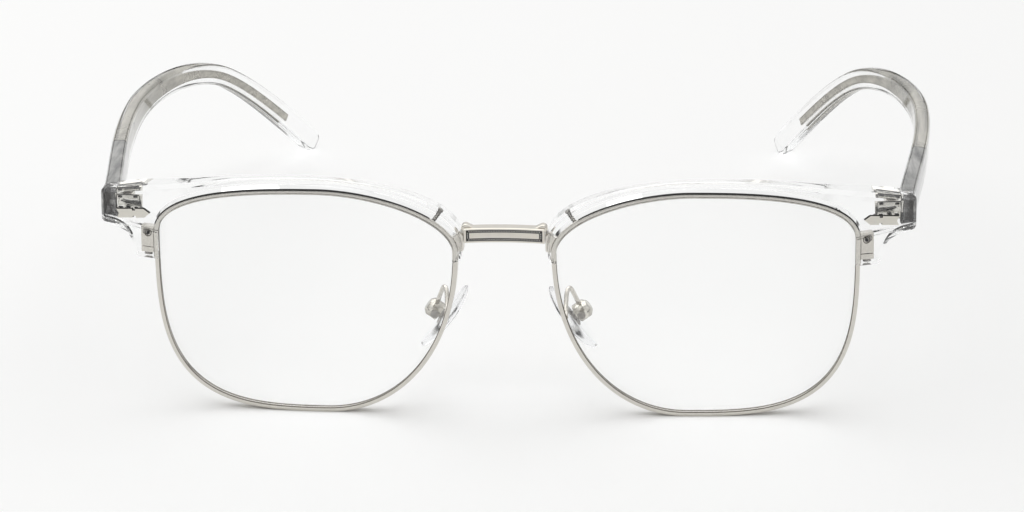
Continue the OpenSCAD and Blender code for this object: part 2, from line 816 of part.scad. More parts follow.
module pad_box_shape() {
    difference() {
        pad_box_form(0);
        pad_frame() translate([box_x - 1, -0.8, screw_z - 1.3]) cube([screw_x + 1.05 - box_x + 1, 1.6, 2.6]);
        screw_frame() translate([0, 0, -3]) cylinder(r = pad_screw_r + slack, h = 6);
    }
}

module pad_screw_shape() {
    screw_frame() difference() {
        union() {
            translate([0, 0, -1.5]) cylinder(r = pad_screw_r, h = 3.3);
            translate([0, 0, box_r + slack]) cylinder(r = pad_screw_r + 0.25, h = 0.35);
        }
        translate([-0.1, -1, box_r + 0.2]) cube([0.2, 2, 1]);
    }
}

// the arm leaves the back of the rim, rises in a loop and comes down on the box
arm_q = q_nose(3.35 - pad_drop);
arm_spot = edge(arm_q, -0.15);
arm_start = in_pair(deep(arm_spot, rim_back + 0.19));
arm_end = pad_at + [1.35, -0.8, 3.25];
arm_bow = [
    [0, 0, 0], [-0.25, 0.2, 0.3], [-0.5, 0.5, 1.2], [-0.65, 0.75, 2.4], [-0.75, 0.75, 3.45], [-0.7, 0.65, 3.95],
    [-0.55, 0.55, 3.75], [-0.4, 0.35, 2.95], [-0.3, 0.1, 2.1], [-0.15, -0.1, 1.1], [0, 0, 0]];
arm_path = [for (i = [0 : 10]) mix(arm_start, arm_end, i / 10) + arm_bow[i]];

function arm_ring(i) =
    let (m = len(arm_path) - 1,
        t = unit(arm_path[min(i + 1, m)] - arm_path[max(i - 1, 0)]),
        o = unit(cross(t, [1, 0, 0])),
        u = cross(o, t))
    [for (a = [0 : 36 : 324]) arm_path[i] + arm_r * (cos(a) * o + sin(a) * u)];

module pad_arm_shape() {
    difference() {
        tube([for (i = [0 : len(arm_path) - 1]) arm_ring(i)], fan(10));
        pad_box_form(slack);
        lens_frame() curved(-1, rim_back + slack);
    }
}

// placing: the whole pair is centred on Y = 0 and the right side mirrors the left

module left() {
    translate([0, -mid_y, 0]) children();
}

module right() {
    translate([0, -mid_y, 0]) mirror([1, 0, 0]) children();
}

module bridge() { color(metal) left() bridge_shape(); }
module left_rim() { color(metal) left() rim_shape(); }
module right_rim() { color(metal) right() rim_shape(); }
module left_lens() { color(clear) left() lens_shape(); }
module right_lens() { color(clear) right() lens_shape(); }
module left_brow() { color(clear) left() brow_shape(); }
module right_brow() { color(clear) right() brow_shape(); }
module left_bridge_lug() { color(metal) left() lug_shape(); }
module right_bridge_lug() { color(metal) right() lug_shape(); }
module left_lock_upper() { color(metal) left() lock_part(split_z + cut_half, lock_top); }
module right_lock_upper() { color(metal) right() lock_part(split_z + cut_half, lock_top); }
module left_lock_lower() { color(metal) left() lock_part(lock_z, split_z - cut_half); }
module right_lock_lower() { color(metal) right() lock_part(lock_z, split_z - cut_half); }
module left_lock_screw() { color(metal) left() lock_screw_shape(); }
module right_lock_screw() { color(metal) right() lock_screw_shape(); }
module left_brow_rivet() { color(metal) left() rivet_shape(); }
module right_brow_rivet() { color(metal) right() rivet_shape(); }
module left_brow_screw() { color(metal) left() brow_screw_shape(); }
module right_brow_screw() { color(metal) right() brow_screw_shape(); }
module left_plaque() { color(metal) left() plaque_shape(); }
module right_plaque() { color(metal) right() plaque_shape(); }
module left_front_hinge() { color(metal) left() front_hinge_shape(); }
module right_front_hinge() { color(metal) right() front_hinge_shape(); }
module left_hinge_screw() { color(metal) left() hinge_screw_shape(); }
module right_hinge_screw() { color(metal) right() hinge_screw_shape(); }
module left_temple_hinge() { color(metal) left() temple_hinge_shape(); }
module right_temple_hinge() { color(metal) right() temple_hinge_shape(); }
module left_temple() { color(clear) left() temple_shape(); }
module right_temple() { color(clear) right() temple_shape(); }
module left_core_sleeve() { color(metal) left() sleeve_shape(); }
module right_core_sleeve() { color(metal) right() sleeve_shape(); }
module left_core_strip() { color(metal) left() core_shape(); }
module right_core_strip() { color(metal) right() core_shape(); }
module left_pad_arm() { color(metal) left() pad_arm_shape(); }
module right_pad_arm() { color(metal) right() pad_arm_shape(); }
module left_pad_box() { color(metal) left() pad_box_shape(); }
module right_pad_box() { color(metal) right() pad_box_shape(); }
module left_pad_screw() { color(metal) left() pad_screw_shape(); }
module right_pad_screw() { color(metal) right() pad_screw_shape(); }
module left_pad_insert() { color(metal) left() pad_insert_shape(); }
module right_pad_insert() { color(metal) right() pad_insert_shape(); }
module left_nose_pad() { color(clear) left() pad_shape(); }
module right_nose_pad() { color(clear) right() pad_shape(); }

bridge();
left_rim();
right_rim();
left_lens();
right_lens();
left_brow();
right_brow();
left_bridge_lug();
right_bridge_lug();
left_lock_upper();
right_lock_upper();
left_lock_lower();
right_lock_lower();
left_lock_screw();
right_lock_screw();
left_brow_rivet();
right_brow_rivet();
left_brow_screw();
right_brow_screw();
left_plaque();
right_plaque();
left_front_hinge();
right_front_hinge();
left_hinge_screw();
right_hinge_screw();
left_temple_hinge();
right_temple_hinge();
left_temple();
right_temple();
left_core_sleeve();
right_core_sleeve();
left_core_strip();
right_core_strip();
left_pad_arm();
right_pad_arm();
left_pad_box();
right_pad_box();
left_pad_screw();
right_pad_screw();
left_pad_insert();
right_pad_insert();
left_nose_pad();
right_nose_pad();
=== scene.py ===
"""Browline glasses: clear acetate brows over wire rims, beaded bridge, cored clear temples.

Every place is worked out in millimetres, in the frame of the standing pair, and is turned
into metres when a point is written. The wearer's left is +X, and the right side is its mirror.
"""

from math import acos, asin, atan2, cos, floor, pi, radians, sin, sqrt

import bpy
from mathutils import Matrix, Vector

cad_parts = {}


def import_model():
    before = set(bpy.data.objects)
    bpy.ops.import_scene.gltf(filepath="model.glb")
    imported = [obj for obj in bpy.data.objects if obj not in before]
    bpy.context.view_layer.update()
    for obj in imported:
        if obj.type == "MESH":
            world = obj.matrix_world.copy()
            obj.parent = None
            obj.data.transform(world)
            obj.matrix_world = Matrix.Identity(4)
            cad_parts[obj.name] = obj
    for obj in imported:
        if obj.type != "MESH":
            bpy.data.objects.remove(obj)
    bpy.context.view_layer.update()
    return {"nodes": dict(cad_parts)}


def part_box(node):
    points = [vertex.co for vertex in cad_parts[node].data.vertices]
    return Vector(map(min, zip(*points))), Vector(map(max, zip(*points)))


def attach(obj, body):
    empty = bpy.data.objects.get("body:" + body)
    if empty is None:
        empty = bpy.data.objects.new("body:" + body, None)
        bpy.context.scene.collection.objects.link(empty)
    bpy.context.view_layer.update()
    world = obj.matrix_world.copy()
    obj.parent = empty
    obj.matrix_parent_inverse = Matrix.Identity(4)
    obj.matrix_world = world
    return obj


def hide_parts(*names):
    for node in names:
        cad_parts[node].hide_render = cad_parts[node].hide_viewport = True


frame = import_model()

# Sizes of the pair, in millimetres

MM = 0.001
SLACK = 0.02  # least room between two pieces
LENS_W = 54.0
LENS_H = 42.5
LENS_GAP = 18.0
LENS_T = 1.4
CURVE_R = 130.0
WRAP = radians(2.5)
RIM_OUT = 0.5
RIM_LAP = 0.35
RIM_FRONT = 0.35
RIM_BACK = 1.75
HIGH_X, LOW_X = -2.7, -3.1  # where the lens outline is highest and lowest
SIDE_Z, NOSE_Z = 11.5, 10.0  # where it is widest, temple side and nose side
ROUND_A, ROUND_B, ROUND_C, ROUND_D = 2.4, 1.8, 2.1, 3.45  # squareness of its four quarters
BROW_RISE = 2.1
BROW_FRONT = 1.15
BROW_BACK = 2.2
NOSE_REACH = 1.4
END_REACH = 10.55
END_DROP = 2.1
END_H = 6.4
LEG_Z = 7.4
LEG_W = 4.1
NOSE_END_Z = 8.0
BEVEL = 0.6
BUTT_Y = 9.3
BUTT_GAP = 0.12
REST_CUT = 0.05  # taken off below, where the rims stand on the floor

HALF_W = LENS_W / 2
HALF_H = LENS_H / 2
LENS_X = (LENS_W + LENS_GAP) / 2
LENS_Z = HALF_H + RIM_OUT - REST_CUT
END_X = HALF_W + END_REACH
END_TOP = HALF_H - END_DROP
END_LOW = END_TOP - END_H
END_SINK = 0.25
END_MID = (END_TOP + END_LOW) / 2 - END_SINK
CORNER = 0.95
CREST_X = 1.5
CREST = Vector((CREST_X, HALF_H + BROW_RISE))
NOSE_X = HALF_W + NOSE_REACH
NOSE_SIDE_H = 3.5
NOSE_TOP = Vector((-NOSE_X, NOSE_END_Z + NOSE_SIDE_H))

BRIDGE_H = 2.75
BRIDGE_TOP = 14.55
ARCH_R = 120.0
BRIDGE_Y = 1.6
BRIDGE_T = 2.0
BRIDGE_ROOM = 0.38
BRIDGE_HALF = LENS_GAP / 2 - NOSE_REACH - BRIDGE_ROOM

TEMPLE_RUN, BEND_RUN = 127.4, 95.0
TEMPLE_OUT, TIP_IN = 5.2, 21.2
TEMPLE_T, TIP_T = 2.95, 2.8
TEMPLE_H, SHAFT_H, TIP_H = 6.6, 4.3, 5.2
SLEEVE_T, SLEEVE_H, SLEEVE_L = 1.7, 4.6, 28.0
CORE_T, CORE_H, CORE_TIP_H = 1.2, 2.9, 1.5
TEMPLE_MID = END_X - TEMPLE_T / 2 - SLACK
END_BACK = TEMPLE_MID * sin(WRAP) + (BUTT_Y + BUTT_GAP) * cos(WRAP)
TIP_REACH = 0.916
MID_Y = (END_BACK + TEMPLE_RUN + TIP_REACH) / 2

PAD_IN, PAD_BACK, PAD_DROP = 2.6, 11.0, 6.45
PAD_AT = Vector((LENS_GAP / 2 + PAD_IN, PAD_BACK, LENS_Z - PAD_DROP))
PAD_SPLAY, PAD_LEAN = -37, 6
PAD_TURN = Matrix.Rotation(radians(PAD_SPLAY), 3, "Y") @ Matrix.Rotation(radians(PAD_LEAN), 3, "X")
PAD_L, PAD_W, PAD_T = 14.4, 7.6, 2.0

SIDES = {"left": 1, "right": -1}


# Making pieces

WELD_M = 1e-7
FLAT_WITHIN = 1  # degrees between faces that are joined into one flat face
DISC_LIFT = 0.01


def only(obj):
    """Selects one object and nothing else."""
    bpy.ops.object.select_all(action="DESELECT")
    obj.select_set(True)
    bpy.context.view_layer.objects.active = obj


def world(point, side=1):
    """A point of the wearer's left side in millimetres, put on its side in metres."""
    return Vector((point[0] * side, point[1] - MID_Y, point[2])) * MM


def finish_mesh(obj, smooth=35, caps=True):
    """Closes, welds and turns outwards a mesh, and smooths what isn't a sharp edge."""
    only(obj)
    bpy.ops.object.mode_set(mode="EDIT")
    bpy.ops.mesh.select_all(action="SELECT")
    bpy.ops.mesh.remove_doubles(threshold=WELD_M)
    if caps:
        bpy.ops.mesh.select_all(action="DESELECT")
        bpy.ops.mesh.select_non_manifold(
            use_wire=False, use_multi_face=False, use_non_contiguous=False, use_verts=False
        )
        bpy.ops.mesh.fill_holes(sides=0)
    bpy.ops.mesh.select_all(action="SELECT")
    bpy.ops.mesh.normals_make_consistent(inside=False)
    bpy.ops.object.mode_set(mode="OBJECT")
    bpy.ops.object.shade_smooth_by_angle(angle=radians(smooth))


def smooth_by(obj, angle):
    """Shades a piece smooth, apart from edges sharper than the angle in degrees."""
    only(obj)
    bpy.ops.object.shade_smooth_by_angle(angle=radians(angle))


def apply_modifiers(obj):
    """Makes a piece's modifiers part of its mesh."""
    only(obj)
    for modifier in list(obj.modifiers):
        bpy.ops.object.modifier_apply(modifier=modifier.name)


def round_edges(obj, width, segments=3, angle=30):
    """Rounds the sharp edges of a piece by a width in millimetres."""
    bevel = obj.modifiers.new("round", "BEVEL")
    bevel.width = width * MM
    bevel.segments = segments
    bevel.limit_method = "ANGLE"
    bevel.angle_limit = radians(angle)
    bevel.harden_normals = False
    apply_modifiers(obj)


def sheet_of(name, around, along, place, side=1, smooth=35):
    """A grid rolled into a solid: place(i, j) gives the point of ring j, place i, in millimetres."""
    bpy.ops.object.select_all(action="DESELECT")
    bpy.ops.mesh.primitive_grid_add(x_subdivisions=around, y_subdivisions=along, size=1)
    obj = bpy.context.object
    obj.name = name
    for vertex in obj.data.vertices:
        i = round((vertex.co.x + 0.5) * around)
        j = round((vertex.co.y + 0.5) * along)
        vertex.co = world(place(i, j), side)
    finish_mesh(obj, smooth)
    return obj


def ball_of(name, around, rings, place, side=1, smooth=40):
    """A ball reshaped: place(turn, tilt) takes the turn from 0 to 1 and the tilt from 0 to 1."""
    bpy.ops.object.select_all(action="DESELECT")
    bpy.ops.mesh.primitive_uv_sphere_add(segments=around, ring_count=rings, radius=1)
    obj = bpy.context.object
    obj.name = name
    for vertex in obj.data.vertices:
        turn = atan2(vertex.co.y, vertex.co.x) / (2 * pi) % 1
        tilt = acos(max(-1, min(1, vertex.co.z))) / pi
        vertex.co = world(place(turn, tilt), side)
    finish_mesh(obj, smooth, caps=False)
    return obj


def copy_of(name, node, shift=(0, 0, 0)):
    """A copy of a CAD node's shape, moved by a shift in millimetres."""
    obj = bpy.data.objects.new(name, frame["nodes"][node].data.copy())
    bpy.context.scene.collection.objects.link(obj)
    if any(shift):
        for vertex in obj.data.vertices:
            vertex.co += Vector(shift) * MM
    finish_mesh(obj, 30, caps=False)
    return obj


def dressed(node, width=0.05, segments=2):
    """A CAD node's own shape with its edges rounded, as a piece that replaces it."""
    obj = copy_of(node + "_made", node)
    flatten = obj.modifiers.new("flatten", "DECIMATE")
    flatten.decimate_type = "DISSOLVE"
    flatten.angle_limit = radians(FLAT_WITHIN)
    apply_modifiers(obj)
    round_edges(obj, width, segments)
    smooth_by(obj, 35)
    return obj


def disc_at(name, node, radius, thick=0.05, inner=0.0):
    """A thin disc, or a ring when inner is given, on the front of a node."""
    low, high = (Vector(corner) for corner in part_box(node))
    centre = ((low.x + high.x) / 2, low.y - DISC_LIFT * MM, (low.z + high.z) / 2)
    bpy.ops.object.select_all(action="DESELECT")
    if inner:
        bpy.ops.mesh.primitive_torus_add(
            major_radius=(radius + inner) / 2 * MM, minor_radius=(radius - inner) / 2 * MM,
            major_segments=40, minor_segments=10, location=centre, rotation=(pi / 2, 0, 0),
        )
    else:
        bpy.ops.mesh.primitive_cylinder_add(
            vertices=32, radius=radius * MM, depth=thick * MM, location=centre, rotation=(pi / 2, 0, 0)
        )
    obj = bpy.context.object
    obj.name = name
    bpy.ops.object.transform_apply(location=True, rotation=True, scale=True)
    finish_mesh(obj)
    return obj


def give(obj, material, body, slot, *nodes):
    """Puts a material on a piece, sets what it rides on and what it stands for."""
    obj.data.materials.clear()
    obj.data.materials.append(material)
    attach(obj, body)
    if nodes:
        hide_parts(*nodes)


# Shader maths


class Wire:
    """A socket that takes plus, minus and times."""

    def __init__(self, finish, socket):
        self.finish = finish
        self.socket = socket

    def _math(self, kind, a, b):
        return self.finish.node("ShaderNodeMath", {"operation": kind}, [a, b])

    def __add__(self, other):
        return self._math("ADD", self, other)

    def __radd__(self, other):
        return self._math("ADD", other, self)

    def __sub__(self, other):
        return self._math("SUBTRACT", self, other)

    def __rsub__(self, other):
        return self._math("SUBTRACT", other, self)

    def __mul__(self, other):
        return self._math("MULTIPLY", self, other)

    def __rmul__(self, other):
        return self._math("MULTIPLY", other, self)


class Finish:
    """One material and its nodes."""

    def __init__(self, name):
        self.material = bpy.data.materials.new(name)
        self.material.use_nodes = True
        self.tree = self.material.node_tree
        self.tree.nodes.clear()
        self.output = self.tree.nodes.new("ShaderNodeOutputMaterial")

    def node(self, kind, settings=None, inputs=None, out=0):
        """A node with its settings first, then the values or links of its sockets."""
        made = self.tree.nodes.new(kind)
        for key, value in (settings or {}).items():
            setattr(made, key, value)
        pairs = inputs.items() if isinstance(inputs, dict) else enumerate(inputs or [])
        for key, value in pairs:
            if isinstance(value, Wire):
                self.tree.links.new(value.socket, made.inputs[key])
            else:
                made.inputs[key].default_value = value
        return Wire(self, made.outputs[out])

    def place(self, scale=(1, 1, 1)):
        spot = self.node("ShaderNodeTexCoord", out="Object")
        return self.node("ShaderNodeMapping", None, {"Vector": spot, "Scale": scale})

    def noise(self, scale, detail=3, stretch=(1, 1, 1), rough=0.5):
        return self.node(
            "ShaderNodeTexNoise", None,
            {"Vector": self.place(stretch), "Scale": scale, "Detail": detail, "Roughness": rough},
        )

    def blend(self, factor, low, high):
        """A colour between low and high."""
        return self.node(
            "ShaderNodeMix", {"data_type": "RGBA"}, {"Factor": factor, 6: low, 7: high}, out=2
        )

    def bump(self, height, strength, distance):
        inputs = {"Height": height, "Strength": strength, "Distance": distance}
        return self.node("ShaderNodeBump", None, inputs)

    def surface(self, inputs):
        return self.node("ShaderNodeBsdfPrincipled", None, inputs)

    def shown(self, shader):
        self.tree.links.new(shader.socket, self.output.inputs["Surface"])
        return self.material


STREAK_SCALE, CLOUD_SCALE = 900, 160
STREAK_SHARE, CLOUD_SHARE = 0.7, 0.3
METAL_BUMP, METAL_BUMP_M = 0.12, 0.00004
WAVE_SCALE, FINE_SCALE, WAVE_M = 60, 420, 0.0002
TINT_FADE = 0.985


def metal(name, color, dark, roughness, grain=(1, 1, 1), spread=0.12, contrast=1):
    """Brushed or cast metal with streaks and small dull places, stronger with more contrast."""
    finish = Finish(name)
    streaks = finish.noise(STREAK_SCALE, 4, grain, 0.6)
    clouds = finish.noise(CLOUD_SCALE, 3)
    pattern = streaks * STREAK_SHARE + clouds * CLOUD_SHARE
    tone = finish.blend((pattern - 0.5) * contrast + 0.5, dark, color)
    rough = clouds * spread + (roughness - spread / 2)
    normal = finish.bump(streaks, METAL_BUMP, METAL_BUMP_M)
    shader = finish.surface({"Base Color": tone, "Metallic": 1.0, "Roughness": rough, "Normal": normal})
    return finish.shown(shader)


def clear_plastic(name, tint, ior, roughness, waves=0.15, shadow=(0.9, 0.91, 0.92, 1)):
    """Clear plastic that lets lamp light through to the floor."""
    finish = Finish(name)
    clouds = finish.noise(WAVE_SCALE, 2)
    fine = finish.noise(FINE_SCALE, 3)
    tone = finish.blend(clouds, tint, tuple(TINT_FADE * c for c in tint[:3]) + (1,))
    rough = fine * (roughness * 0.6) + roughness * 0.7
    normal = finish.bump(clouds, waves, WAVE_M)
    glass = finish.surface(
        {"Base Color": tone, "Roughness": rough, "IOR": ior, "Transmission Weight": 1.0, "Normal": normal}
    )
    through = finish.node("ShaderNodeBsdfTransparent", None, {"Color": shadow})
    shade_ray = finish.node("ShaderNodeLightPath", out="Is Shadow Ray")
    mixed = finish.node("ShaderNodeMixShader", None, [shade_ray, glass, through])
    return finish.shown(mixed)


# The outline of a lens and what follows it


OUTLINE_STEP = 0.01


def power(value, n):
    """The share of a superellipse of squareness n."""
    return abs(value) ** (2 / n)


def spot(q):
    """A point of the lens outline, q from 0 to 4 starting at the temple side."""
    k = floor(q)
    f = radians((q - k) * 90)
    part = k % 4
    if part == 0:
        x = HIGH_X + (HALF_W - HIGH_X) * power(cos(f), ROUND_A)
        z = SIDE_Z + (HALF_H - SIDE_Z) * power(sin(f), ROUND_A)
    elif part == 1:
        x = HIGH_X - (HALF_W + HIGH_X) * power(sin(f), ROUND_B)
        z = NOSE_Z + (HALF_H - NOSE_Z) * power(cos(f), ROUND_B)
    elif part == 2:
        x = LOW_X - (HALF_W + LOW_X) * power(cos(f), ROUND_C)
        z = NOSE_Z - (HALF_H + NOSE_Z) * power(sin(f), ROUND_C)
    else:
        x = LOW_X + (HALF_W - LOW_X) * power(sin(f), ROUND_D)
        z = SIDE_Z - (HALF_H + SIDE_Z) * power(cos(f), ROUND_D)
    return Vector((x, z))


def edge(q, outward):
    """A point at a distance outside the lens outline."""
    t = spot(q + OUTLINE_STEP) - spot(q - OUTLINE_STEP)
    return spot(q) + outward * Vector((t.y, -t.x)).normalized()


def q_temple(z):
    """The place on the outline's temple side at a height below its widest point."""
    return acos(((SIDE_Z - z) / (HALF_H + SIDE_Z)) ** (ROUND_D / 2)) / (pi / 2) - 1


def q_nose(z):
    """The place on the outline's nose side at a height below its widest point."""
    return 2 + asin(((NOSE_Z - z) / (HALF_H + NOSE_Z)) ** (ROUND_C / 2)) / (pi / 2)


def sag(p):
    """How far the lens curve lies behind its plane."""
    return CURVE_R - sqrt(CURVE_R**2 - p[0] ** 2 - p[1] ** 2)


def on_front(p, depth):
    """A point of the lens plane, at a depth behind the lens curve, in the pair's frame."""
    d = sag(p) + depth
    x = LENS_X + p[0] * cos(WRAP) - d * sin(WRAP)
    y = p[0] * sin(WRAP) + d * cos(WRAP)
    return Vector((x, y, LENS_Z + p[1]))


def flat(x, depth, z):
    """A point of the lens frame at a depth behind its plane."""
    p = Vector((x, z))
    return on_front(p, depth - sag(p))


def bend(a, b, c, d, t):
    """A point of the curve from a to d with the handles b and c."""
    return a * (1 - t) ** 3 + b * 3 * t * (1 - t) ** 2 + c * 3 * t * t * (1 - t) + d * t**3


def mix(a, b, t):
    """A value between a and b."""
    return a + (b - a) * t


def ease(t):
    """A soft start and end between 0 and 1."""
    t = max(0, min(1, t))
    return t * t * (3 - 2 * t)


# Rims and lenses

RIM_STEPS = 256
RIM_ROUND = 0.16
LENS_RINGS = 24
LENS_IN_GROOVE = 0.05


def rounded_box(low, high, radius, steps):
    """Points of a rounded rectangle, anticlockwise."""
    points = []
    corners = [(high[0], high[1], 0), (low[0], high[1], 90), (low[0], low[1], 180), (high[0], low[1], 270)]
    for x, y, start in corners:
        cx = x - radius if x == high[0] else x + radius
        cy = y - radius if y == high[1] else y + radius
        for k in range(steps):
            a = radians(start + 90 * k / (steps - 1))
            points.append((cx + radius * cos(a), cy + radius * sin(a)))
    return points


def make_rim(name, side):
    """The wire around a lens, flat where it stands on the floor."""
    ring = rounded_box((-RIM_LAP, -RIM_FRONT), (RIM_OUT, RIM_BACK), RIM_ROUND, 5)

    def place(i, j):
        outward, depth = ring[i % len(ring)]
        p = edge(4 * j / RIM_STEPS, outward)
        point = on_front(p, depth)
        point.z = max(point.z, 0)
        return point

    return sheet_of(name, len(ring), RIM_STEPS, place, side)


def make_lens(name, side):
    """A curved lens with its bevel in the rim's groove."""
    centre = Vector((HIGH_X, 0))
    last = 1 - 2 / LENS_RINGS

    def place(turn, tilt):
        q = 4 * turn
        half = min(tilt, 1 - tilt) * 2
        body = edge(q, -RIM_LAP + LENS_IN_GROOVE)
        if half > last + 0.01:
            return on_front(edge(q, 0), LENS_T / 2)
        p = centre + (body - centre) * min(1, half / last)
        return on_front(p, 0 if tilt < 0.5 else LENS_T)

    return ball_of(name, 160, LENS_RINGS, place, side, 50)


def make_band(name, side, start, end, steps, low, high, taper=0):
    """A thin band that follows the lens outline, low and high being its outward and depth limits."""
    ring = [(low[0], low[1]), (high[0], low[1]), (high[0], high[1]), (low[0], high[1])]

    def place(i, j):
        outward, depth = ring[i % 4]
        full = 1 - taper + taper * sin(pi * j / steps)
        return on_front(edge(mix(start, end, j / steps), mix(high[0], outward, full)), depth)

    return sheet_of(name, 4, steps, place, side)


# Brows

BROW_STEPS = 288
TOP_TURN = 81  # degrees that the end piece's upper corner turns through
END_FLAT = 0.3  # share of the end piece's side that is straight
LEG_HANDLE = Vector((0.2, 3.4))
LOW_HANDLE_IN, LOW_HANDLE_DOWN = 4.6, 0.5
SHOULDER_HANDLE = Vector((-11.2, 1.78))
CREST_TO_END, CREST_TO_NOSE = Vector((12, 0)), Vector((-17, 0))
NOSE_HANDLE = Vector((0, 7.5))
TIP_HANDLES = Vector((0, -1.6)), Vector((0.2, -2.8))
TIP_GAP = 0.18
Q_LOW, Q_CORNER, Q_SHOULDER, Q_CREST, Q_NOSE = 0.03, 0.05, 0.13, 0.95, 1.89  # places along the outline
LEG_BEVEL = 1.8
NOSE_Q_START, NOSE_Q_BEND = 1.16, 0.22
FRONT_LIP, FRONT_ROUND, BACK_ROUND = 0.2, 0.9, 0.3


def back_at(p, t):
    """The brow's back depth, from the thin brow at 0 to the end piece at 1."""
    return mix(BROW_BACK, BUTT_Y - sag(p), t)


def brow_station(w):
    """The outer point, the place on the outline, the bevel and the back depth at w from 0 to 1."""
    leg = Vector((HALF_W + LEG_W, LEG_Z))
    low = Vector((END_X - CORNER, END_LOW))
    turn = radians(TOP_TURN)
    shoulder = Vector((END_X - CORNER + CORNER * cos(turn), END_TOP - CORNER + CORNER * sin(turn)))
    part = w * 6
    if part < 1:
        t = part
        low_handle = Vector((END_X - LOW_HANDLE_IN, END_LOW - LOW_HANDLE_DOWN))
        p = bend(leg, leg + LEG_HANDLE, low_handle, low, t)
        return p, mix(q_temple(LEG_Z), Q_LOW, t), BEVEL * mix(1, LEG_BEVEL, ease(t)), back_at(p, ease(t))
    if part < 1.5:
        t = (part - 1) * 2
        a = radians(90 * t)
        p = Vector((END_X - CORNER + CORNER * sin(a), END_LOW + CORNER - CORNER * cos(a)))
        return p, mix(Q_LOW, Q_CORNER, t), BEVEL * mix(LEG_BEVEL, 1, t), back_at(p, 1)
    if part < 2:
        t = (part - 1.5) * 2
        low_side = Vector((END_X, END_LOW + CORNER))
        side_run = Vector((END_X, END_TOP - CORNER)) - low_side
        a = radians(TOP_TURN * max(0, t - END_FLAT) / (1 - END_FLAT))
        high_side = Vector((END_X - CORNER + CORNER * cos(a), END_TOP - CORNER + CORNER * sin(a)))
        p = low_side + side_run * t / END_FLAT if t < END_FLAT else high_side
        return p, mix(Q_CORNER, Q_SHOULDER, t), BEVEL, back_at(p, 1)
    if part < 4:
        t = (part - 2) / 2
        p = bend(shoulder, shoulder + SHOULDER_HANDLE, CREST + CREST_TO_END, CREST, t)
        return p, mix(Q_SHOULDER, Q_CREST, t), BEVEL, back_at(p, 1 - ease(t / 0.5))
    if part < 5.6:
        t = (part - 4) / 1.6
        p = bend(CREST, CREST + CREST_TO_NOSE, NOSE_TOP + NOSE_HANDLE, NOSE_TOP, t)
        return p, Q_CREST + NOSE_Q_START * t - NOSE_Q_BEND * t * t, BEVEL, BROW_BACK
    t = (part - 5.6) / 0.4
    tip = Vector((-HALF_W - RIM_OUT - TIP_GAP, NOSE_END_Z))
    p = bend(NOSE_TOP, NOSE_TOP + TIP_HANDLES[0], NOSE_TOP + TIP_HANDLES[1], tip, t)
    return p, mix(Q_NOSE, q_nose(NOSE_END_Z), t), BEVEL, BROW_BACK


def brow_ring(w):
    """Nine corners of the brow's section at w, the lip over the rim first."""
    step = 0.004
    p, q, bevel, back = brow_station(w)
    t = brow_station(min(1, w + step))[0] - brow_station(max(0, w - step))[0]
    out = Vector((t.y, -t.x)).normalized()
    c = edge(q, -RIM_LAP)
    d = edge(q, RIM_OUT + SLACK)
    b = min(bevel, 0.4 * (p - c).length)
    g = min(BACK_ROUND, 0.5 * (p - d).length)
    lip = -RIM_FRONT - SLACK
    front = -BROW_FRONT
    return [
        on_front(c, lip),
        on_front(c, front + FRONT_LIP),
        on_front(edge(q, -RIM_LAP + FRONT_LIP), front),
        on_front(p - b * out, front),
        on_front(p, front + FRONT_ROUND),
        on_front(p, back - BACK_ROUND),
        on_front(p - g * out, back),
        on_front(d, BROW_BACK),
        on_front(d, lip),
    ]


def make_brow(name, side):
    """A clear brow with its end piece and leg."""
    rings = [brow_ring(j / BROW_STEPS) for j in range(BROW_STEPS + 1)]
    obj = sheet_of(name, 9, BROW_STEPS, lambda i, j: rings[j][i % 9], side, 28)
    round_edges(obj, 0.09, 2, 25)
    smooth_by(obj, 28)
    return obj


BROW_SCREW_Q, BROW_SCREW_R, BROW_SCREW_L = 1.65, 0.42, 1.97
THREAD_PITCH, THREAD_TURNS, THREAD_DEEP = 0.42, 5, 0.14
SCREW_HEAD_L, SCREW_HEAD_OUT, SCREW_SINK = 0.45, 0.1, 0.1


def make_thread(name, side):
    """The screw between rim and brow: a thread and a small head."""
    foot = edge(BROW_SCREW_Q, SCREW_SINK)
    out = (edge(BROW_SCREW_Q, SCREW_SINK + 1) - foot).normalized()
    across = Vector((out.y, -out.x))
    back = sag(foot) + LENS_T / 2
    steps, ring = 60, 20
    full = BROW_SCREW_L + SCREW_HEAD_L

    def place(i, j):
        s = full * j / steps
        wave = abs((s / THREAD_PITCH) % 1 * 2 - 1)
        in_thread = s < THREAD_PITCH * THREAD_TURNS
        r = BROW_SCREW_R - THREAD_DEEP * wave if in_thread else BROW_SCREW_R + SCREW_HEAD_OUT
        a = 2 * pi * i / ring
        p = foot + s * out + r * cos(a) * across
        return flat(p.x, back + r * sin(a), p.y)

    return sheet_of(name, ring, steps, place, side, 25)


# Hinge plates, seen through the clear end pieces

LEAF_X = HALF_W + 5.45
LEAF_Z = END_MID + 0.2
LEAF_Y = BUTT_Y - 1.1


LEAF_FACE = LEAF_Y - SLACK

# Details of the plate, measured from its middle: two corners, or a middle with half a width and height
# The border, rivet ends and bow are painted shade in near black, and the ridge is a painted highlight in lighter
# metal
BORDER = (-2.25, -1.58), (2.2, 1.68)
RIDGE = (-2.05, -0.56), (2.04, 0.93)
RIVETS = [
    (-1.45, 1.33, 0.38, 0.2), (1.41, 1.27, 0.4, 0.21),
    (-1.5, -0.92, 0.38, 0.28), (1.4, -0.93, 0.4, 0.28),
]
RIVET_ROUND = 0.14
BOW = [
    (-1.2, 0.62), (-0.36, 0.28), (0.49, 0.28), (1.26, 0.6),
    (1.26, 0.44), (0.5, 0.07), (-0.38, 0.07), (-1.2, 0.46),
]
BALL_Z, BALL_W, BALL_H, BALL_DEEP = -0.14, 0.42, 0.24, 0.25


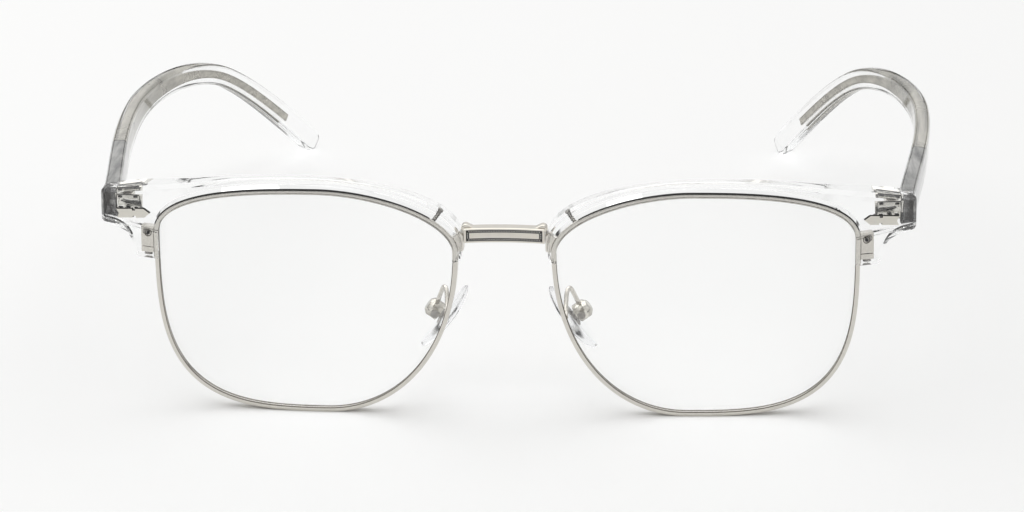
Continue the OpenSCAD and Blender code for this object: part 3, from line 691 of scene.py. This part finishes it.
def make_tab(name, side, outline, front, back):
    """A flat piece of the lens frame between two depths."""
    count = len(outline)

    def place(i, j):
        x, z = outline[i % count]
        return flat(x, (front, back)[j], z)

    return sheet_of(name, count, 1, place, side, 25)


def make_frame(name, side, low, high, radius, wide, front, back):
    """A rounded frame on the hinge plate."""
    inner_low = (low[0] + wide, low[1] + wide)
    inner_high = (high[0] - wide, high[1] - wide)
    outer = rounded_box(low, high, radius, 6)
    inner = rounded_box(inner_low, inner_high, max(SLACK, radius - wide), 6)
    count = len(outer)

    def place(i, j):
        x, z = (outer, inner, inner, outer)[i % 4][j % count]
        return flat(x, (front, front, back, back)[i % 4], z)

    return sheet_of(name, 4, count, place, side, 25)


def on_leaf(points):
    """Points measured from the middle of the hinge plate, in the lens frame."""
    return [(LEAF_X + x, LEAF_Z + z) for x, z in points]


def hinge_details(named, side):
    """On the plate that faces the viewer: a dark frame, dark rivet ends and a dark bow as painted shade, a ridge
    in lighter metal as painted highlight, and a ball.
    """
    low, high = on_leaf(BORDER)
    border_shade = make_frame(named + "hinge_border", side, low, high, 0.35, 0.1, LEAF_FACE - 0.03, LEAF_Y + 0.3)
    give(border_shade, painted_groove_shade, "front", "hinge_metal")
    low, high = on_leaf(RIDGE)
    ridge_highlight = make_frame(named + "hinge_ridge", side, low, high, 0.4, 0.2, LEAF_FACE - 0.12, LEAF_Y)
    give(ridge_highlight, painted_highlight_metal, "front", "hinge_metal")
    for k, (x, z, w, h) in enumerate(RIVETS):
        low, high = on_leaf([(x - w, z - h), (x + w, z + h)])
        outline = rounded_box(low, high, RIVET_ROUND, 4)
        rivet_shade = make_tab(named + "hinge_rivet_%d" % k, side, outline, LEAF_FACE - 0.06, LEAF_Y)
        give(rivet_shade, painted_groove_shade, "front", "hinge_metal")
    bow = make_tab(named + "hinge_bow", side, on_leaf(BOW), LEAF_FACE - 0.08, LEAF_Y)
    give(bow, painted_groove_shade, "front", "hinge_metal")
    ball_x, ball_z = on_leaf([(0, BALL_Z)])[0]

    def on_ball(turn, tilt):
        a = 2 * pi * turn
        r = sin(pi * tilt)
        depth = LEAF_Y + 0.05 - BALL_DEEP * cos(pi * tilt)
        return flat(ball_x + BALL_W * r * cos(a), depth, ball_z + BALL_H * r * sin(a))

    give(ball_of(named + "hinge_ball", 24, 12, on_ball, side), screw_metal, "front", "hinge_metal")


# Temples

TIP_Z = 0.9
BUTT_X = TEMPLE_MID * cos(WRAP) - (BUTT_Y + BUTT_GAP) * sin(WRAP)
BUTT = on_front((0, 0), 0) + Vector((BUTT_X, END_BACK, END_MID))
ROUND_G = 2.9  # where the tip's rounding starts, of 3
TEMPLE_ROUND = 0.9
STRIP_ROUND = 0.24


def temple_spot(out, back, up):
    """A place on the temple's centreline: sideways from the hinge end, behind it, up from the tip."""
    return Vector((BUTT.x + out, BUTT.y + back, mix(TIP_Z, BUTT.z, up)))


WIDE = temple_spot(TEMPLE_OUT, 0.6 * BEND_RUN, 0.895)
BENT = temple_spot(-0.235 * TIP_IN, BEND_RUN, 0.745)
TIP_RUN = TEMPLE_RUN - BEND_RUN
PATH = [
    [
        BUTT, temple_spot(0.4 * TEMPLE_OUT, 0.2 * BEND_RUN, 0.967),
        temple_spot(TEMPLE_OUT + 0.1, 0.4 * BEND_RUN, 0.926), WIDE,
    ],
    [WIDE, temple_spot(TEMPLE_OUT - 0.1, 0.77 * BEND_RUN, 0.865), temple_spot(0, 0.905 * BEND_RUN, 0.862), BENT],
    [
        BENT, temple_spot(-0.435 * TIP_IN, BEND_RUN + 0.236 * TIP_RUN, 0.645),
        temple_spot(-0.727 * TIP_IN, BEND_RUN + 0.636 * TIP_RUN, 0.3), temple_spot(-TIP_IN, TEMPLE_RUN, 0),
    ],
]
SLEEVE_G = SLEEVE_L / (WIDE - BUTT).length
CORE_END = 2.7


def on_path(g):
    """A point of the temple's centreline at g from 0 to 3."""
    part = min(2, int(g))
    return bend(*PATH[part], g - part)


def place_ring(g, across, up):
    """A point beside and above the temple's centreline at g from 0 to 3."""
    if g < 0.05:
        t = Vector((-sin(WRAP), cos(WRAP), 0))
    else:
        t = (on_path(min(3, g + 0.01)) - on_path(g - 0.01)).normalized()
    o = t.cross(Vector((0, 0, 1))).normalized()
    u = o.cross(t)
    return on_path(g) + across * o + up * u


def height_at(g):
    """The temple's height along its centreline."""
    return mix(TEMPLE_H, SHAFT_H, ease(g / 2)) if g < 2 else mix(SHAFT_H, TIP_H, ease(g - 2))


def core_high(g):
    """The core strip's height, which tapers behind the ear."""
    return mix(CORE_H, CORE_TIP_H, ease(g - 1))


def make_temple(name, side):
    """The clear temple with its rounded tip, flat where it stands on the floor."""
    steps = 132
    body = 120

    def place(i, j):
        if j <= body:
            g, k, r = ROUND_G * j / body, 1, TEMPLE_ROUND
        else:
            t = (j - body) / (steps - body)
            g = ROUND_G + (3 - ROUND_G) * sin(t * pi / 2)
            k = max(0.02, cos(t * pi / 2) ** 0.55)
            r = TEMPLE_ROUND * k
        w = mix(TEMPLE_T, TIP_T, g / 3) * k
        h = height_at(g) * k
        ring = rounded_box((-w / 2, -h / 2), (w / 2, h / 2), min(r, w / 2 - 0.001), 6)
        point = place_ring(g, *ring[i % len(ring)])
        point.z = max(point.z, 0)
        return point

    return sheet_of(name, 24, steps, place, side, 45)


def make_strip(name, side, start, end, thick, high, steps):
    """A strip along the temple's centreline; high(g) is its height."""

    def place(i, j):
        g = mix(start, end, j / steps)
        ring = rounded_box((-thick / 2, -high(g) / 2), (thick / 2, high(g) / 2), STRIP_ROUND, 4)
        return place_ring(g, *ring[i % 16])

    return sheet_of(name, 16, steps, place, side)


def make_cap(name, side):
    """The dark end of the core's thick part, with a notch towards the hinge."""
    w, h = SLEEVE_T / 2, SLEEVE_H / 2
    outline = [
        (w, h), (-w, h), (-w, 0.2), (0.1, 0.2), (0.1, -0.75),
        (-w + 0.15, -0.75), (-w + 0.15, -h), (w - 0.1, -h), (w, -h + 0.2),
    ]

    def place(i, j):
        across, up = outline[i % 9]
        return place_ring(0, across, up) - place_ring(0, 0, 0) + mix(BUTT, on_path(0.002), j)

    return sheet_of(name, 9, 1, place, side, 20)


# Bridge

BAR_CHAMFER = 0.12
BORDER_W = 0.32
CHANNEL_FROM, CHANNEL_TO, PANEL_FROM = 0.36, 0.8, 0.86
CHANNEL_DEEP = 0.22
END_BORDER, END_PANEL = 0.42, 0.97
BEAD_R, BEAD_STEP, BEAD_SINK = 0.135, 0.45, 0.13
BEAD_LINE = 0.58  # distance of a row of beads from the bar's edge
BEAD_ENDS, BEAD_END_LINE, BEAD_END_STEP = 0.75, 0.68, 0.41
BEAD_FACE_M2 = 6e-9  # a bead's faces are all smaller
EAR_IN, EAR_DROP, EAR_R, EAR_RUN = 0.3, 0.35, 0.8, 1.3
EAR_FRONT = 0.5


def arch(x, below):
    """Height of the bridge at x, a distance below its top."""
    r = ARCH_R - below
    return LENS_Z + BRIDGE_TOP - ARCH_R + sqrt(r * r - x * x)


def bridge_section(x):
    """The bar's section at x: a raised border, a groove for the beads and a raised panel."""
    front, back = BRIDGE_Y, BRIDGE_Y + BRIDGE_T
    inside = BRIDGE_HALF - abs(x)
    groove = front + CHANNEL_DEEP if inside > END_BORDER else front
    panel = front if inside > END_PANEL else groove
    c = BAR_CHAMFER
    low = BRIDGE_H
    heights = [
        (front + c, 0), (front, c), (front, BORDER_W), (groove, CHANNEL_FROM), (groove, CHANNEL_TO),
        (panel, PANEL_FROM), (panel, low - PANEL_FROM), (groove, low - CHANNEL_TO), (groove, low - CHANNEL_FROM),
        (front, low - BORDER_W), (front, low - c), (front + c, low),
        (back - c, low), (back, low - c), (back, c), (back - c, 0),
    ]
    return [Vector((x, y, arch(x, z))) for y, z in heights]


def make_bridge():
    """The arched bar with its border, panel and two rows of beads."""
    insets = [0, END_BORDER - 0.01, END_BORDER + 0.01, END_PANEL - 0.01, END_PANEL + 0.01]
    marks = [BRIDGE_HALF - inset for inset in insets]
    inner = [marks[-1] * (1 - 2 * k / 40) for k in range(1, 40)]
    places = marks + inner + [-x for x in reversed(marks)]
    sections = [bridge_section(-x) for x in places]
    bar = sheet_of("bridge_bar", 16, len(places) - 1, lambda i, j: sections[j][i % 16])
    round_edges(bar, 0.04, 2)
    only(bar)
    bpy.ops.object.mode_set(mode="EDIT")
    count = floor((BRIDGE_HALF - BEAD_ENDS) / BEAD_STEP)
    rows = BEAD_LINE, BRIDGE_H - BEAD_LINE
    end_x = BRIDGE_HALF - BEAD_END_LINE
    spots = [(k * BEAD_STEP, below) for below in rows for k in range(-count, count + 1)]
    spots += [(s * end_x, BRIDGE_H / 2 + k * BEAD_END_STEP) for s in (-1, 1) for k in (-1, 0, 1)]
    for x, below in spots:
        place = world((x, BRIDGE_Y + BEAD_SINK, arch(x, below)))
        bpy.ops.mesh.primitive_uv_sphere_add(segments=14, ring_count=10, radius=BEAD_R * MM, location=place)
    bpy.ops.object.mode_set(mode="OBJECT")
    smooth_by(bar, 40)
    return bar


def paint_channel_shade_and_highlight(bar, recess_shade, bead_highlight):
    """Paints the bead channel's floor with painted shade and the beads with a painted highlight."""
    bar.data.materials.append(recess_shade)
    bar.data.materials.append(bead_highlight)
    for face in bar.data.polygons:
        x, y, z = face.center / MM
        y += MID_Y
        below = ARCH_R - sqrt((z - LENS_Z - BRIDGE_TOP + ARCH_R) ** 2 + x * x)
        within = BORDER_W - 0.01 < below < BRIDGE_H - BORDER_W + 0.01
        inside = within and abs(x) < BRIDGE_HALF - END_BORDER + 0.01
        deep = y - BRIDGE_Y
        # Bead faces get the painted highlight, the channel floor gets painted shade
        if inside and deep < CHANNEL_DEEP + 0.08 and face.area < BEAD_FACE_M2:
            face.material_index = 2
        elif inside and 0.03 < deep < CHANNEL_DEEP + 0.03:
            face.material_index = 1


def make_ear(name, side):
    """The rounded step at each end of the bridge's top, sloping down towards the middle."""
    x, z = BRIDGE_HALF - EAR_IN, LENS_Z + BRIDGE_TOP - EAR_DROP
    front, back = BRIDGE_Y + EAR_FRONT, BRIDGE_Y + BRIDGE_T - SLACK
    big, small = EAR_R, EAR_R / 2
    high, low = Vector((x, z)), Vector((x - EAR_RUN, z - EAR_R / 4))
    count = 56

    def place(i, j):
        a = 2 * pi * i / count
        u = Vector((cos(a), sin(a)))
        p = high + big * u if high.dot(u) + big > low.dot(u) + small else low + small * u
        return (p.x, (front, back)[j], p.y)

    obj = sheet_of(name, count, 1, place, side)
    round_edges(obj, 0.25, 4, 40)
    smooth_by(obj, 50)
    return obj


# Nose pads and their arms

PAD_ROUND = 0.9
PAD_CROWN, PAD_THINNER, PAD_SHIFT = 0.5, 0.25, -0.25
ARM_R = 0.42
ARM_FOOT_Z, ARM_FOOT_IN, ARM_FOOT_BACK = 3.35, -0.15, 0.19
ARM_BOW = [
    (0, 0, 0), (-0.25, 0.2, 0.3), (-0.5, 0.5, 1.2), (-0.65, 0.75, 2.4), (-0.75, 0.75, 3.45), (-0.7, 0.65, 3.95),
    (-0.55, 0.55, 3.75), (-0.4, 0.35, 2.95), (-0.3, 0.1, 2.1), (-0.15, -0.1, 1.1), (0, 0, 0),
]  # how far the wire bows away from the straight line between its ends


def make_pad(name, side):
    """A drop-shaped pad, a little hollow lengthwise."""

    def place(turn, tilt):
        a = 2 * pi * turn
        rho = sin(pi * tilt)
        face = 1 if tilt < 0.5 else -1
        thick = PAD_T / 2 * max(0, 1 - rho**4) ** 0.5 * face
        y = PAD_W / 2 * rho * abs(cos(a)) ** PAD_ROUND * (1 if cos(a) > 0 else -1)
        z = PAD_L / 2 * rho * abs(sin(a)) ** PAD_ROUND * (1 if sin(a) > 0 else -1)
        crown = PAD_CROWN * (z / (PAD_L / 2)) ** 2
        return PAD_AT + PAD_TURN @ Vector((thick * (1 - PAD_THINNER * crown) + crown + PAD_SHIFT, y, z))

    return ball_of(name, 72, 36, place, side, 60)


def spline(points, t):
    """A smooth curve through the points, t from 0 to 1."""
    span = t * (len(points) - 1)
    k = min(len(points) - 2, int(span))
    t = span - k
    p = [Vector(points[max(0, min(len(points) - 1, k + m))]) for m in (-1, 0, 1, 2)]
    a = p[1] * 2
    b = (p[2] - p[0]) * t
    c = (p[0] * 2 - p[1] * 5 + p[2] * 4 - p[3]) * t * t
    d = (p[1] * 3 - p[0] - p[2] * 3 + p[3]) * t**3
    return (a + b + c + d) * 0.5


ARM_FROM = edge(q_nose(ARM_FOOT_Z - PAD_DROP), ARM_FOOT_IN)
ARM_START = on_front(ARM_FROM, RIM_BACK + ARM_FOOT_BACK)
ARM_END = PAD_AT + Vector((1.35, -0.8, 3.25))
ARM_PATH = [mix(ARM_START, ARM_END, k / 10) + Vector(bow) for k, bow in enumerate(ARM_BOW)]


def make_arm(name, side):
    """The wire that bows from the rim's back to the pad box."""
    steps, ring = 60, 16

    def place(i, j):
        t = j / steps
        ahead = spline(ARM_PATH, min(1, t + 0.01)) - spline(ARM_PATH, max(0, t - 0.01))
        o = ahead.cross(Vector((1, 0, 0))).normalized()
        u = o.cross(ahead).normalized()
        a = 2 * pi * (i % ring) / ring
        return spline(ARM_PATH, t) + ARM_R * (cos(a) * o + sin(a) * u)

    return sheet_of(name, ring, steps, place, side, 50)


# Finishes

BRUSHED = (1, 0.02, 1)

# A lighter copy of the metal as painted highlight, for the bridge's beads and the hinge plate's ridge
painted_highlight_metal = metal("painted_highlight_metal", (0.88, 0.87, 0.84, 1), (0.8, 0.79, 0.76, 1), 0.16)
wire_metal = metal("wire_metal", (0.7, 0.675, 0.625, 1), (0.6, 0.575, 0.53, 1), 0.22)
bridge_metal = metal("bridge_metal", (0.72, 0.69, 0.63, 1), (0.58, 0.55, 0.5, 1), 0.2)
screw_metal = metal("screw_metal", (0.4, 0.385, 0.36, 1), (0.24, 0.23, 0.22, 1), 0.25)
hinge_metal = metal("hinge_metal", (0.78, 0.76, 0.71, 1), (0.6, 0.585, 0.54, 1), 0.24)
box_metal = metal("box_metal", (0.82, 0.795, 0.73, 1), (0.3, 0.285, 0.25, 1), 0.08, spread=0.04, contrast=4)
core_metal = metal("core_metal", (0.52, 0.515, 0.5, 1), (0.1, 0.1, 0.1, 1), 0.3, BRUSHED, contrast=4)
cap_metal = metal("cap_metal", (0.2, 0.195, 0.19, 1), (0.07, 0.068, 0.07, 1), 0.35)
strip_metal = metal("strip_metal", (0.66, 0.635, 0.57, 1), (0.36, 0.345, 0.31, 1), 0.28, BRUSHED, contrast=3)
plaque_metal = metal("plaque_metal", (0.78, 0.755, 0.69, 1), (0.7, 0.68, 0.62, 1), 0.3)
acetate = clear_plastic("clear_acetate", (0.992, 0.995, 0.995, 1), 1.49, 0.004, 0.04)
lens_glass = clear_plastic("lens_glass", (0.998, 1.0, 0.999, 1), 1.5, 0.0, 0.0, (0.97, 0.975, 0.975, 1))
silicone = clear_plastic("clear_silicone", (0.975, 0.98, 0.99, 1), 1.2, 0.12, 0.2)


def painted_shade_finish(name, low, high):
    """A dark material for painted shade: the dark line of a groove, gap or edge."""
    finish = Finish(name)
    clouds = finish.noise(300, 2)
    tone = finish.blend(clouds, low, high)
    return finish.shown(finish.surface({"Base Color": tone, "Roughness": 0.6, "Specular IOR Level": 0.2}))


# Painted shade: near black in grooves, gaps and recesses, dark brown along shaded edges
painted_groove_shade = painted_shade_finish("painted_groove_shade", (0.002, 0.002, 0.002, 1), (0.01, 0.009, 0.008, 1))
painted_edge_shade = painted_shade_finish("painted_edge_shade", (0.08, 0.07, 0.055, 1), (0.2, 0.18, 0.15, 1))

# Building both sides

bridge_bar = make_bridge()
give(bridge_bar, bridge_metal, "front", "bridge_metal", "bridge")
# Painted shade in the bead channel and painted highlight on the beads
paint_channel_shade_and_highlight(bridge_bar, painted_groove_shade, painted_highlight_metal)

# CAD nodes that keep their own shape: finish, slot, and body where it isn't the front
SMALL = {
    "bridge_lug": (wire_metal, "wire_metal", "front"),
    "lock_upper": (wire_metal, "wire_metal", "front"),
    "lock_lower": (wire_metal, "wire_metal", "front"),
    "lock_screw": (screw_metal, "screw_metal", "front"),
    "brow_rivet": (screw_metal, "screw_metal", "front"),
    "plaque": (plaque_metal, "wire_metal", "front"),
    "front_hinge": (hinge_metal, "hinge_metal", "front"),
    "hinge_screw": (screw_metal, "screw_metal", "front"),
    "pad_box": (box_metal, "wire_metal", "front"),
    "pad_screw": (screw_metal, "screw_metal", "front"),
    "temple_hinge": (hinge_metal, "hinge_metal", "temple_arm"),
    "pad_insert": (screw_metal, "screw_metal", "pad"),
}
ROUNDED = {"pad_box": (0.45, 5), "lock_screw": (0.1, 3), "bridge_lug": (0.12, 3)}
EDGE_ROUND = (0.05, 2)

RIM_INNER = -RIM_LAP
RIM_FACE = -RIM_FRONT
# Where the black band of painted shade between rim and brow runs along the outline, and how much it tapers
SEAM_FROM, SEAM_TO, SEAM_TAPER = 0.1, 1.62, 0.5
# How far the plaque's painted shadow copy is moved in, back and up, and the sizes of the rivet's painted dark
# eye and ring
PLAQUE_IN, PLAQUE_BACK, PLAQUE_UP = 0.07, 0.03, 0.13
EYE_R, EYE_RING_R, EYE_RING_IN = 0.3, 0.66, 0.5
SLEEVE_START = 0.003
# Where the painted shade line at the sleeve's step starts and ends, where the strip starts, and how far that
# line stands proud
JOINT_BACK, JOINT_ON, STRIP_ON = 0.006, 0.001, 0.002
JOINT_PROUD = 0.06


def rim_lines(named, side):
    """Painted shade: dark lines at the lens edge and at the rim's inner edge, and a black band between rim and
    brow where the gap lies in shade.
    """
    low, high = (RIM_INNER - 0.05, LENS_T - 0.35), (RIM_INNER + 0.1, LENS_T - 0.1)
    give(make_band(named + "lens_line", side, 0, 4, 240, low, high), painted_edge_shade, "front", "lens_glass")
    low, high = (RIM_INNER - 0.03, RIM_FACE + 0.02), (RIM_INNER + 0.12, RIM_FACE + 0.25)
    give(make_band(named + "rim_line", side, 0, 4, 256, low, high), painted_edge_shade, "front", "wire_metal")
    low, high = (RIM_OUT - 0.32, RIM_FACE - 0.035), (RIM_OUT + 0.05, RIM_FACE + 0.02)
    seam = make_band(named + "seam", side, SEAM_FROM, SEAM_TO, 120, low, high, SEAM_TAPER)
    give(seam, painted_groove_shade, "front", "clear_acetate")


def small_marks(named, side):
    """Painted shade: a dark copy of the plaque set a little in, behind and above it as its shadow outline, and a
    dark eye and ring on the closing block's rivet.
    """
    shift = (-PLAQUE_IN * side, PLAQUE_BACK, PLAQUE_UP)
    outline = copy_of(named + "plaque_shadow", named + "plaque", shift)
    give(outline, painted_groove_shade, "front", "clear_acetate")
    rivet = named + "brow_rivet"
    give(disc_at(named + "rivet_eye", rivet, EYE_R), painted_groove_shade, "front", "screw_metal")
    ring = disc_at(named + "rivet_ring", rivet, EYE_RING_R, inner=EYE_RING_IN)
    give(ring, painted_edge_shade, "front", "screw_metal")


def temple_core(named, side, body):
    """The thick front part of the core, its dark end, a line of painted shade at the step where the thick part
    ends, and the thin strip behind it.
    """
    sleeve = make_strip(named + "sleeve", side, SLEEVE_START, SLEEVE_G, SLEEVE_T, lambda g: SLEEVE_H, 30)
    give(sleeve, core_metal, body, "core_metal", named + "core_sleeve")
    give(make_cap(named + "sleeve_cap", side), cap_metal, body, "core_metal")
    thick, high = SLEEVE_T + JOINT_PROUD, SLEEVE_H + JOINT_PROUD
    start, end = SLEEVE_G - JOINT_BACK, SLEEVE_G + JOINT_ON
    step_shade = make_strip(named + "sleeve_step_shade", side, start, end, thick, lambda g: high, 2)
    give(step_shade, painted_groove_shade, body, "core_metal")
    strip = make_strip(named + "strip", side, SLEEVE_G + STRIP_ON, CORE_END, CORE_T, core_high, 110)
    give(strip, strip_metal, body, "core_metal", named + "core_strip")


for side_name, side in SIDES.items():
    arm_body = side_name + "_temple_arm"
    pad_body = side_name + "_pad"
    named = side_name + "_"
    give(make_rim(named + "rim_wire", side), wire_metal, "front", "wire_metal", named + "rim")
    give(make_lens(named + "lens_clear", side), lens_glass, "front", "lens_glass", named + "lens")
    rim_lines(named, side)
    give(make_thread(named + "brow_thread", side), screw_metal, "front", "screw_metal", named + "brow_screw")
    hinge_details(named, side)
    small_marks(named, side)
    give(make_brow(named + "brow_clear", side), acetate, "front", "clear_acetate", named + "brow")
    give(make_temple(named + "temple_clear", side), acetate, arm_body, "clear_acetate", named + "temple")
    temple_core(named, side, arm_body)
    give(make_ear(named + "bridge_ear", side), bridge_metal, "front", "bridge_metal")
    give(make_pad(named + "pad_clear", side), silicone, pad_body, "clear_silicone", named + "nose_pad")
    give(make_arm(named + "arm_wire", side), wire_metal, "front", "wire_metal", named + "pad_arm")
    for piece, (finish, slot, body) in SMALL.items():
        rides = body if body == "front" else named + body
        made = dressed(named + piece, *ROUNDED.get(piece, EDGE_ROUND))
        give(made, finish, rides, slot, named + piece)

# Floor, light and camera

FLOOR_SIZE = 4.0
ROOM_LIGHT = 0.55
SKY_STOPS = [(0.0, 0.02), (0.06, 0.04), (0.13, 0.92), (0.75, 0.95)]
SKY_WARMTH = 0.995
LAMP_AT, LAMP_SIZE, LAMP_W = (-0.18, 0.1, 0.9), (1.6, 1.6), 7.9


def make_floor():
    """The pale surface that the pair stands on."""
    bpy.ops.object.select_all(action="DESELECT")
    bpy.ops.mesh.primitive_plane_add(size=FLOOR_SIZE, location=(0, 0, 0))
    floor_piece = bpy.context.object
    floor_piece.name = "floor"
    bpy.ops.object.transform_apply(location=True, rotation=True, scale=True)
    finish = Finish("pale_floor")
    shade = finish.noise(3, 2)
    tone = finish.blend(shade, (0.955, 0.955, 0.952, 1), (0.98, 0.98, 0.976, 1))
    shader = finish.surface({"Base Color": tone, "Roughness": 0.9, "Specular IOR Level": 0.1})
    floor_piece.data.materials.append(finish.shown(shader))


def make_sky():
    """A pale room with a dark low horizon, at full strength in what is seen, mirrored or seen through."""
    sky = bpy.data.worlds.new("room")
    bpy.context.scene.world = sky
    sky.use_nodes = True
    nodes, links = sky.node_tree.nodes, sky.node_tree.links
    nodes.clear()

    def add(kind, **settings):
        made = nodes.new(kind)
        for key, value in settings.items():
            setattr(made, key, value)
        return made

    output = add("ShaderNodeOutputWorld")
    light = add("ShaderNodeBackground")
    ramp = add("ShaderNodeValToRGB")
    split = add("ShaderNodeSeparateXYZ")
    where = add("ShaderNodeTexCoord")
    path = add("ShaderNodeLightPath")
    seen = [add("ShaderNodeMath", operation="ADD", use_clamp=True) for _ in range(2)]
    strength = add("ShaderNodeMath", operation="MULTIPLY_ADD")
    links.new(path.outputs["Is Camera Ray"], seen[0].inputs[0])
    links.new(path.outputs["Is Glossy Ray"], seen[0].inputs[1])
    links.new(seen[0].outputs[0], seen[1].inputs[0])
    links.new(path.outputs["Is Transmission Ray"], seen[1].inputs[1])
    links.new(seen[1].outputs[0], strength.inputs[0])
    strength.inputs[1].default_value = 1 - ROOM_LIGHT
    strength.inputs[2].default_value = ROOM_LIGHT
    links.new(where.outputs["Generated"], split.inputs[0])
    links.new(split.outputs["Z"], ramp.inputs["Fac"])
    while len(ramp.color_ramp.elements) < len(SKY_STOPS):
        ramp.color_ramp.elements.new(0.5)
    for element, (place, tone) in zip(ramp.color_ramp.elements, SKY_STOPS):
        element.position = place
        element.color = (tone, tone, tone * SKY_WARMTH, 1)
    links.new(ramp.outputs["Color"], light.inputs["Color"])
    links.new(strength.outputs[0], light.inputs["Strength"])
    links.new(light.outputs["Background"], output.inputs["Surface"])


def make_lamp(name, place, aim, size, power_w):
    """A rectangular lamp at a place, turned towards its aim."""
    data = bpy.data.lights.new(name, "AREA")
    data.shape = "RECTANGLE"
    data.size, data.size_y = size
    data.energy = power_w
    lamp = bpy.data.objects.new(name, data)
    lamp.location = place
    lamp.rotation_euler = (Vector(aim) - Vector(place)).to_track_quat("-Z", "Y").to_euler()
    bpy.context.scene.collection.objects.link(lamp)


PITCH, YAW, ROLL = radians(22.233), radians(3.793), radians(-0.84)
CAMERA_GAP = 635.28
AIM = Vector((1.462, 0, 31.588))
FOCAL_PX, PHOTO_W = 3570.44, 1024
SENSOR_MM = 36


def make_camera():
    """The camera fitted to the photograph."""
    look = Vector((-sin(YAW) * cos(PITCH), cos(YAW) * cos(PITCH), -sin(PITCH)))
    right = Vector((cos(YAW), sin(YAW), 0))
    up = right.cross(look)
    right_r = right * cos(ROLL) + up * sin(ROLL)
    up_r = up * cos(ROLL) - right * sin(ROLL)
    data = bpy.data.cameras.new("camera")
    data.sensor_fit = "HORIZONTAL"
    data.sensor_width = SENSOR_MM
    data.lens = FOCAL_PX / PHOTO_W * SENSOR_MM
    data.clip_start = 0.01
    camera = bpy.data.objects.new("camera", data)
    turn = Matrix((right_r, up_r, -look)).transposed()
    camera.matrix_world = Matrix.Translation(world(AIM - look * CAMERA_GAP)) @ turn.to_4x4()
    bpy.context.scene.collection.objects.link(camera)
    bpy.context.scene.camera = camera


make_floor()
make_sky()
make_lamp("top_box", LAMP_AT, (0, 0, 0), LAMP_SIZE, LAMP_W)
make_camera()
bpy.context.scene.view_settings.view_transform = "Standard"
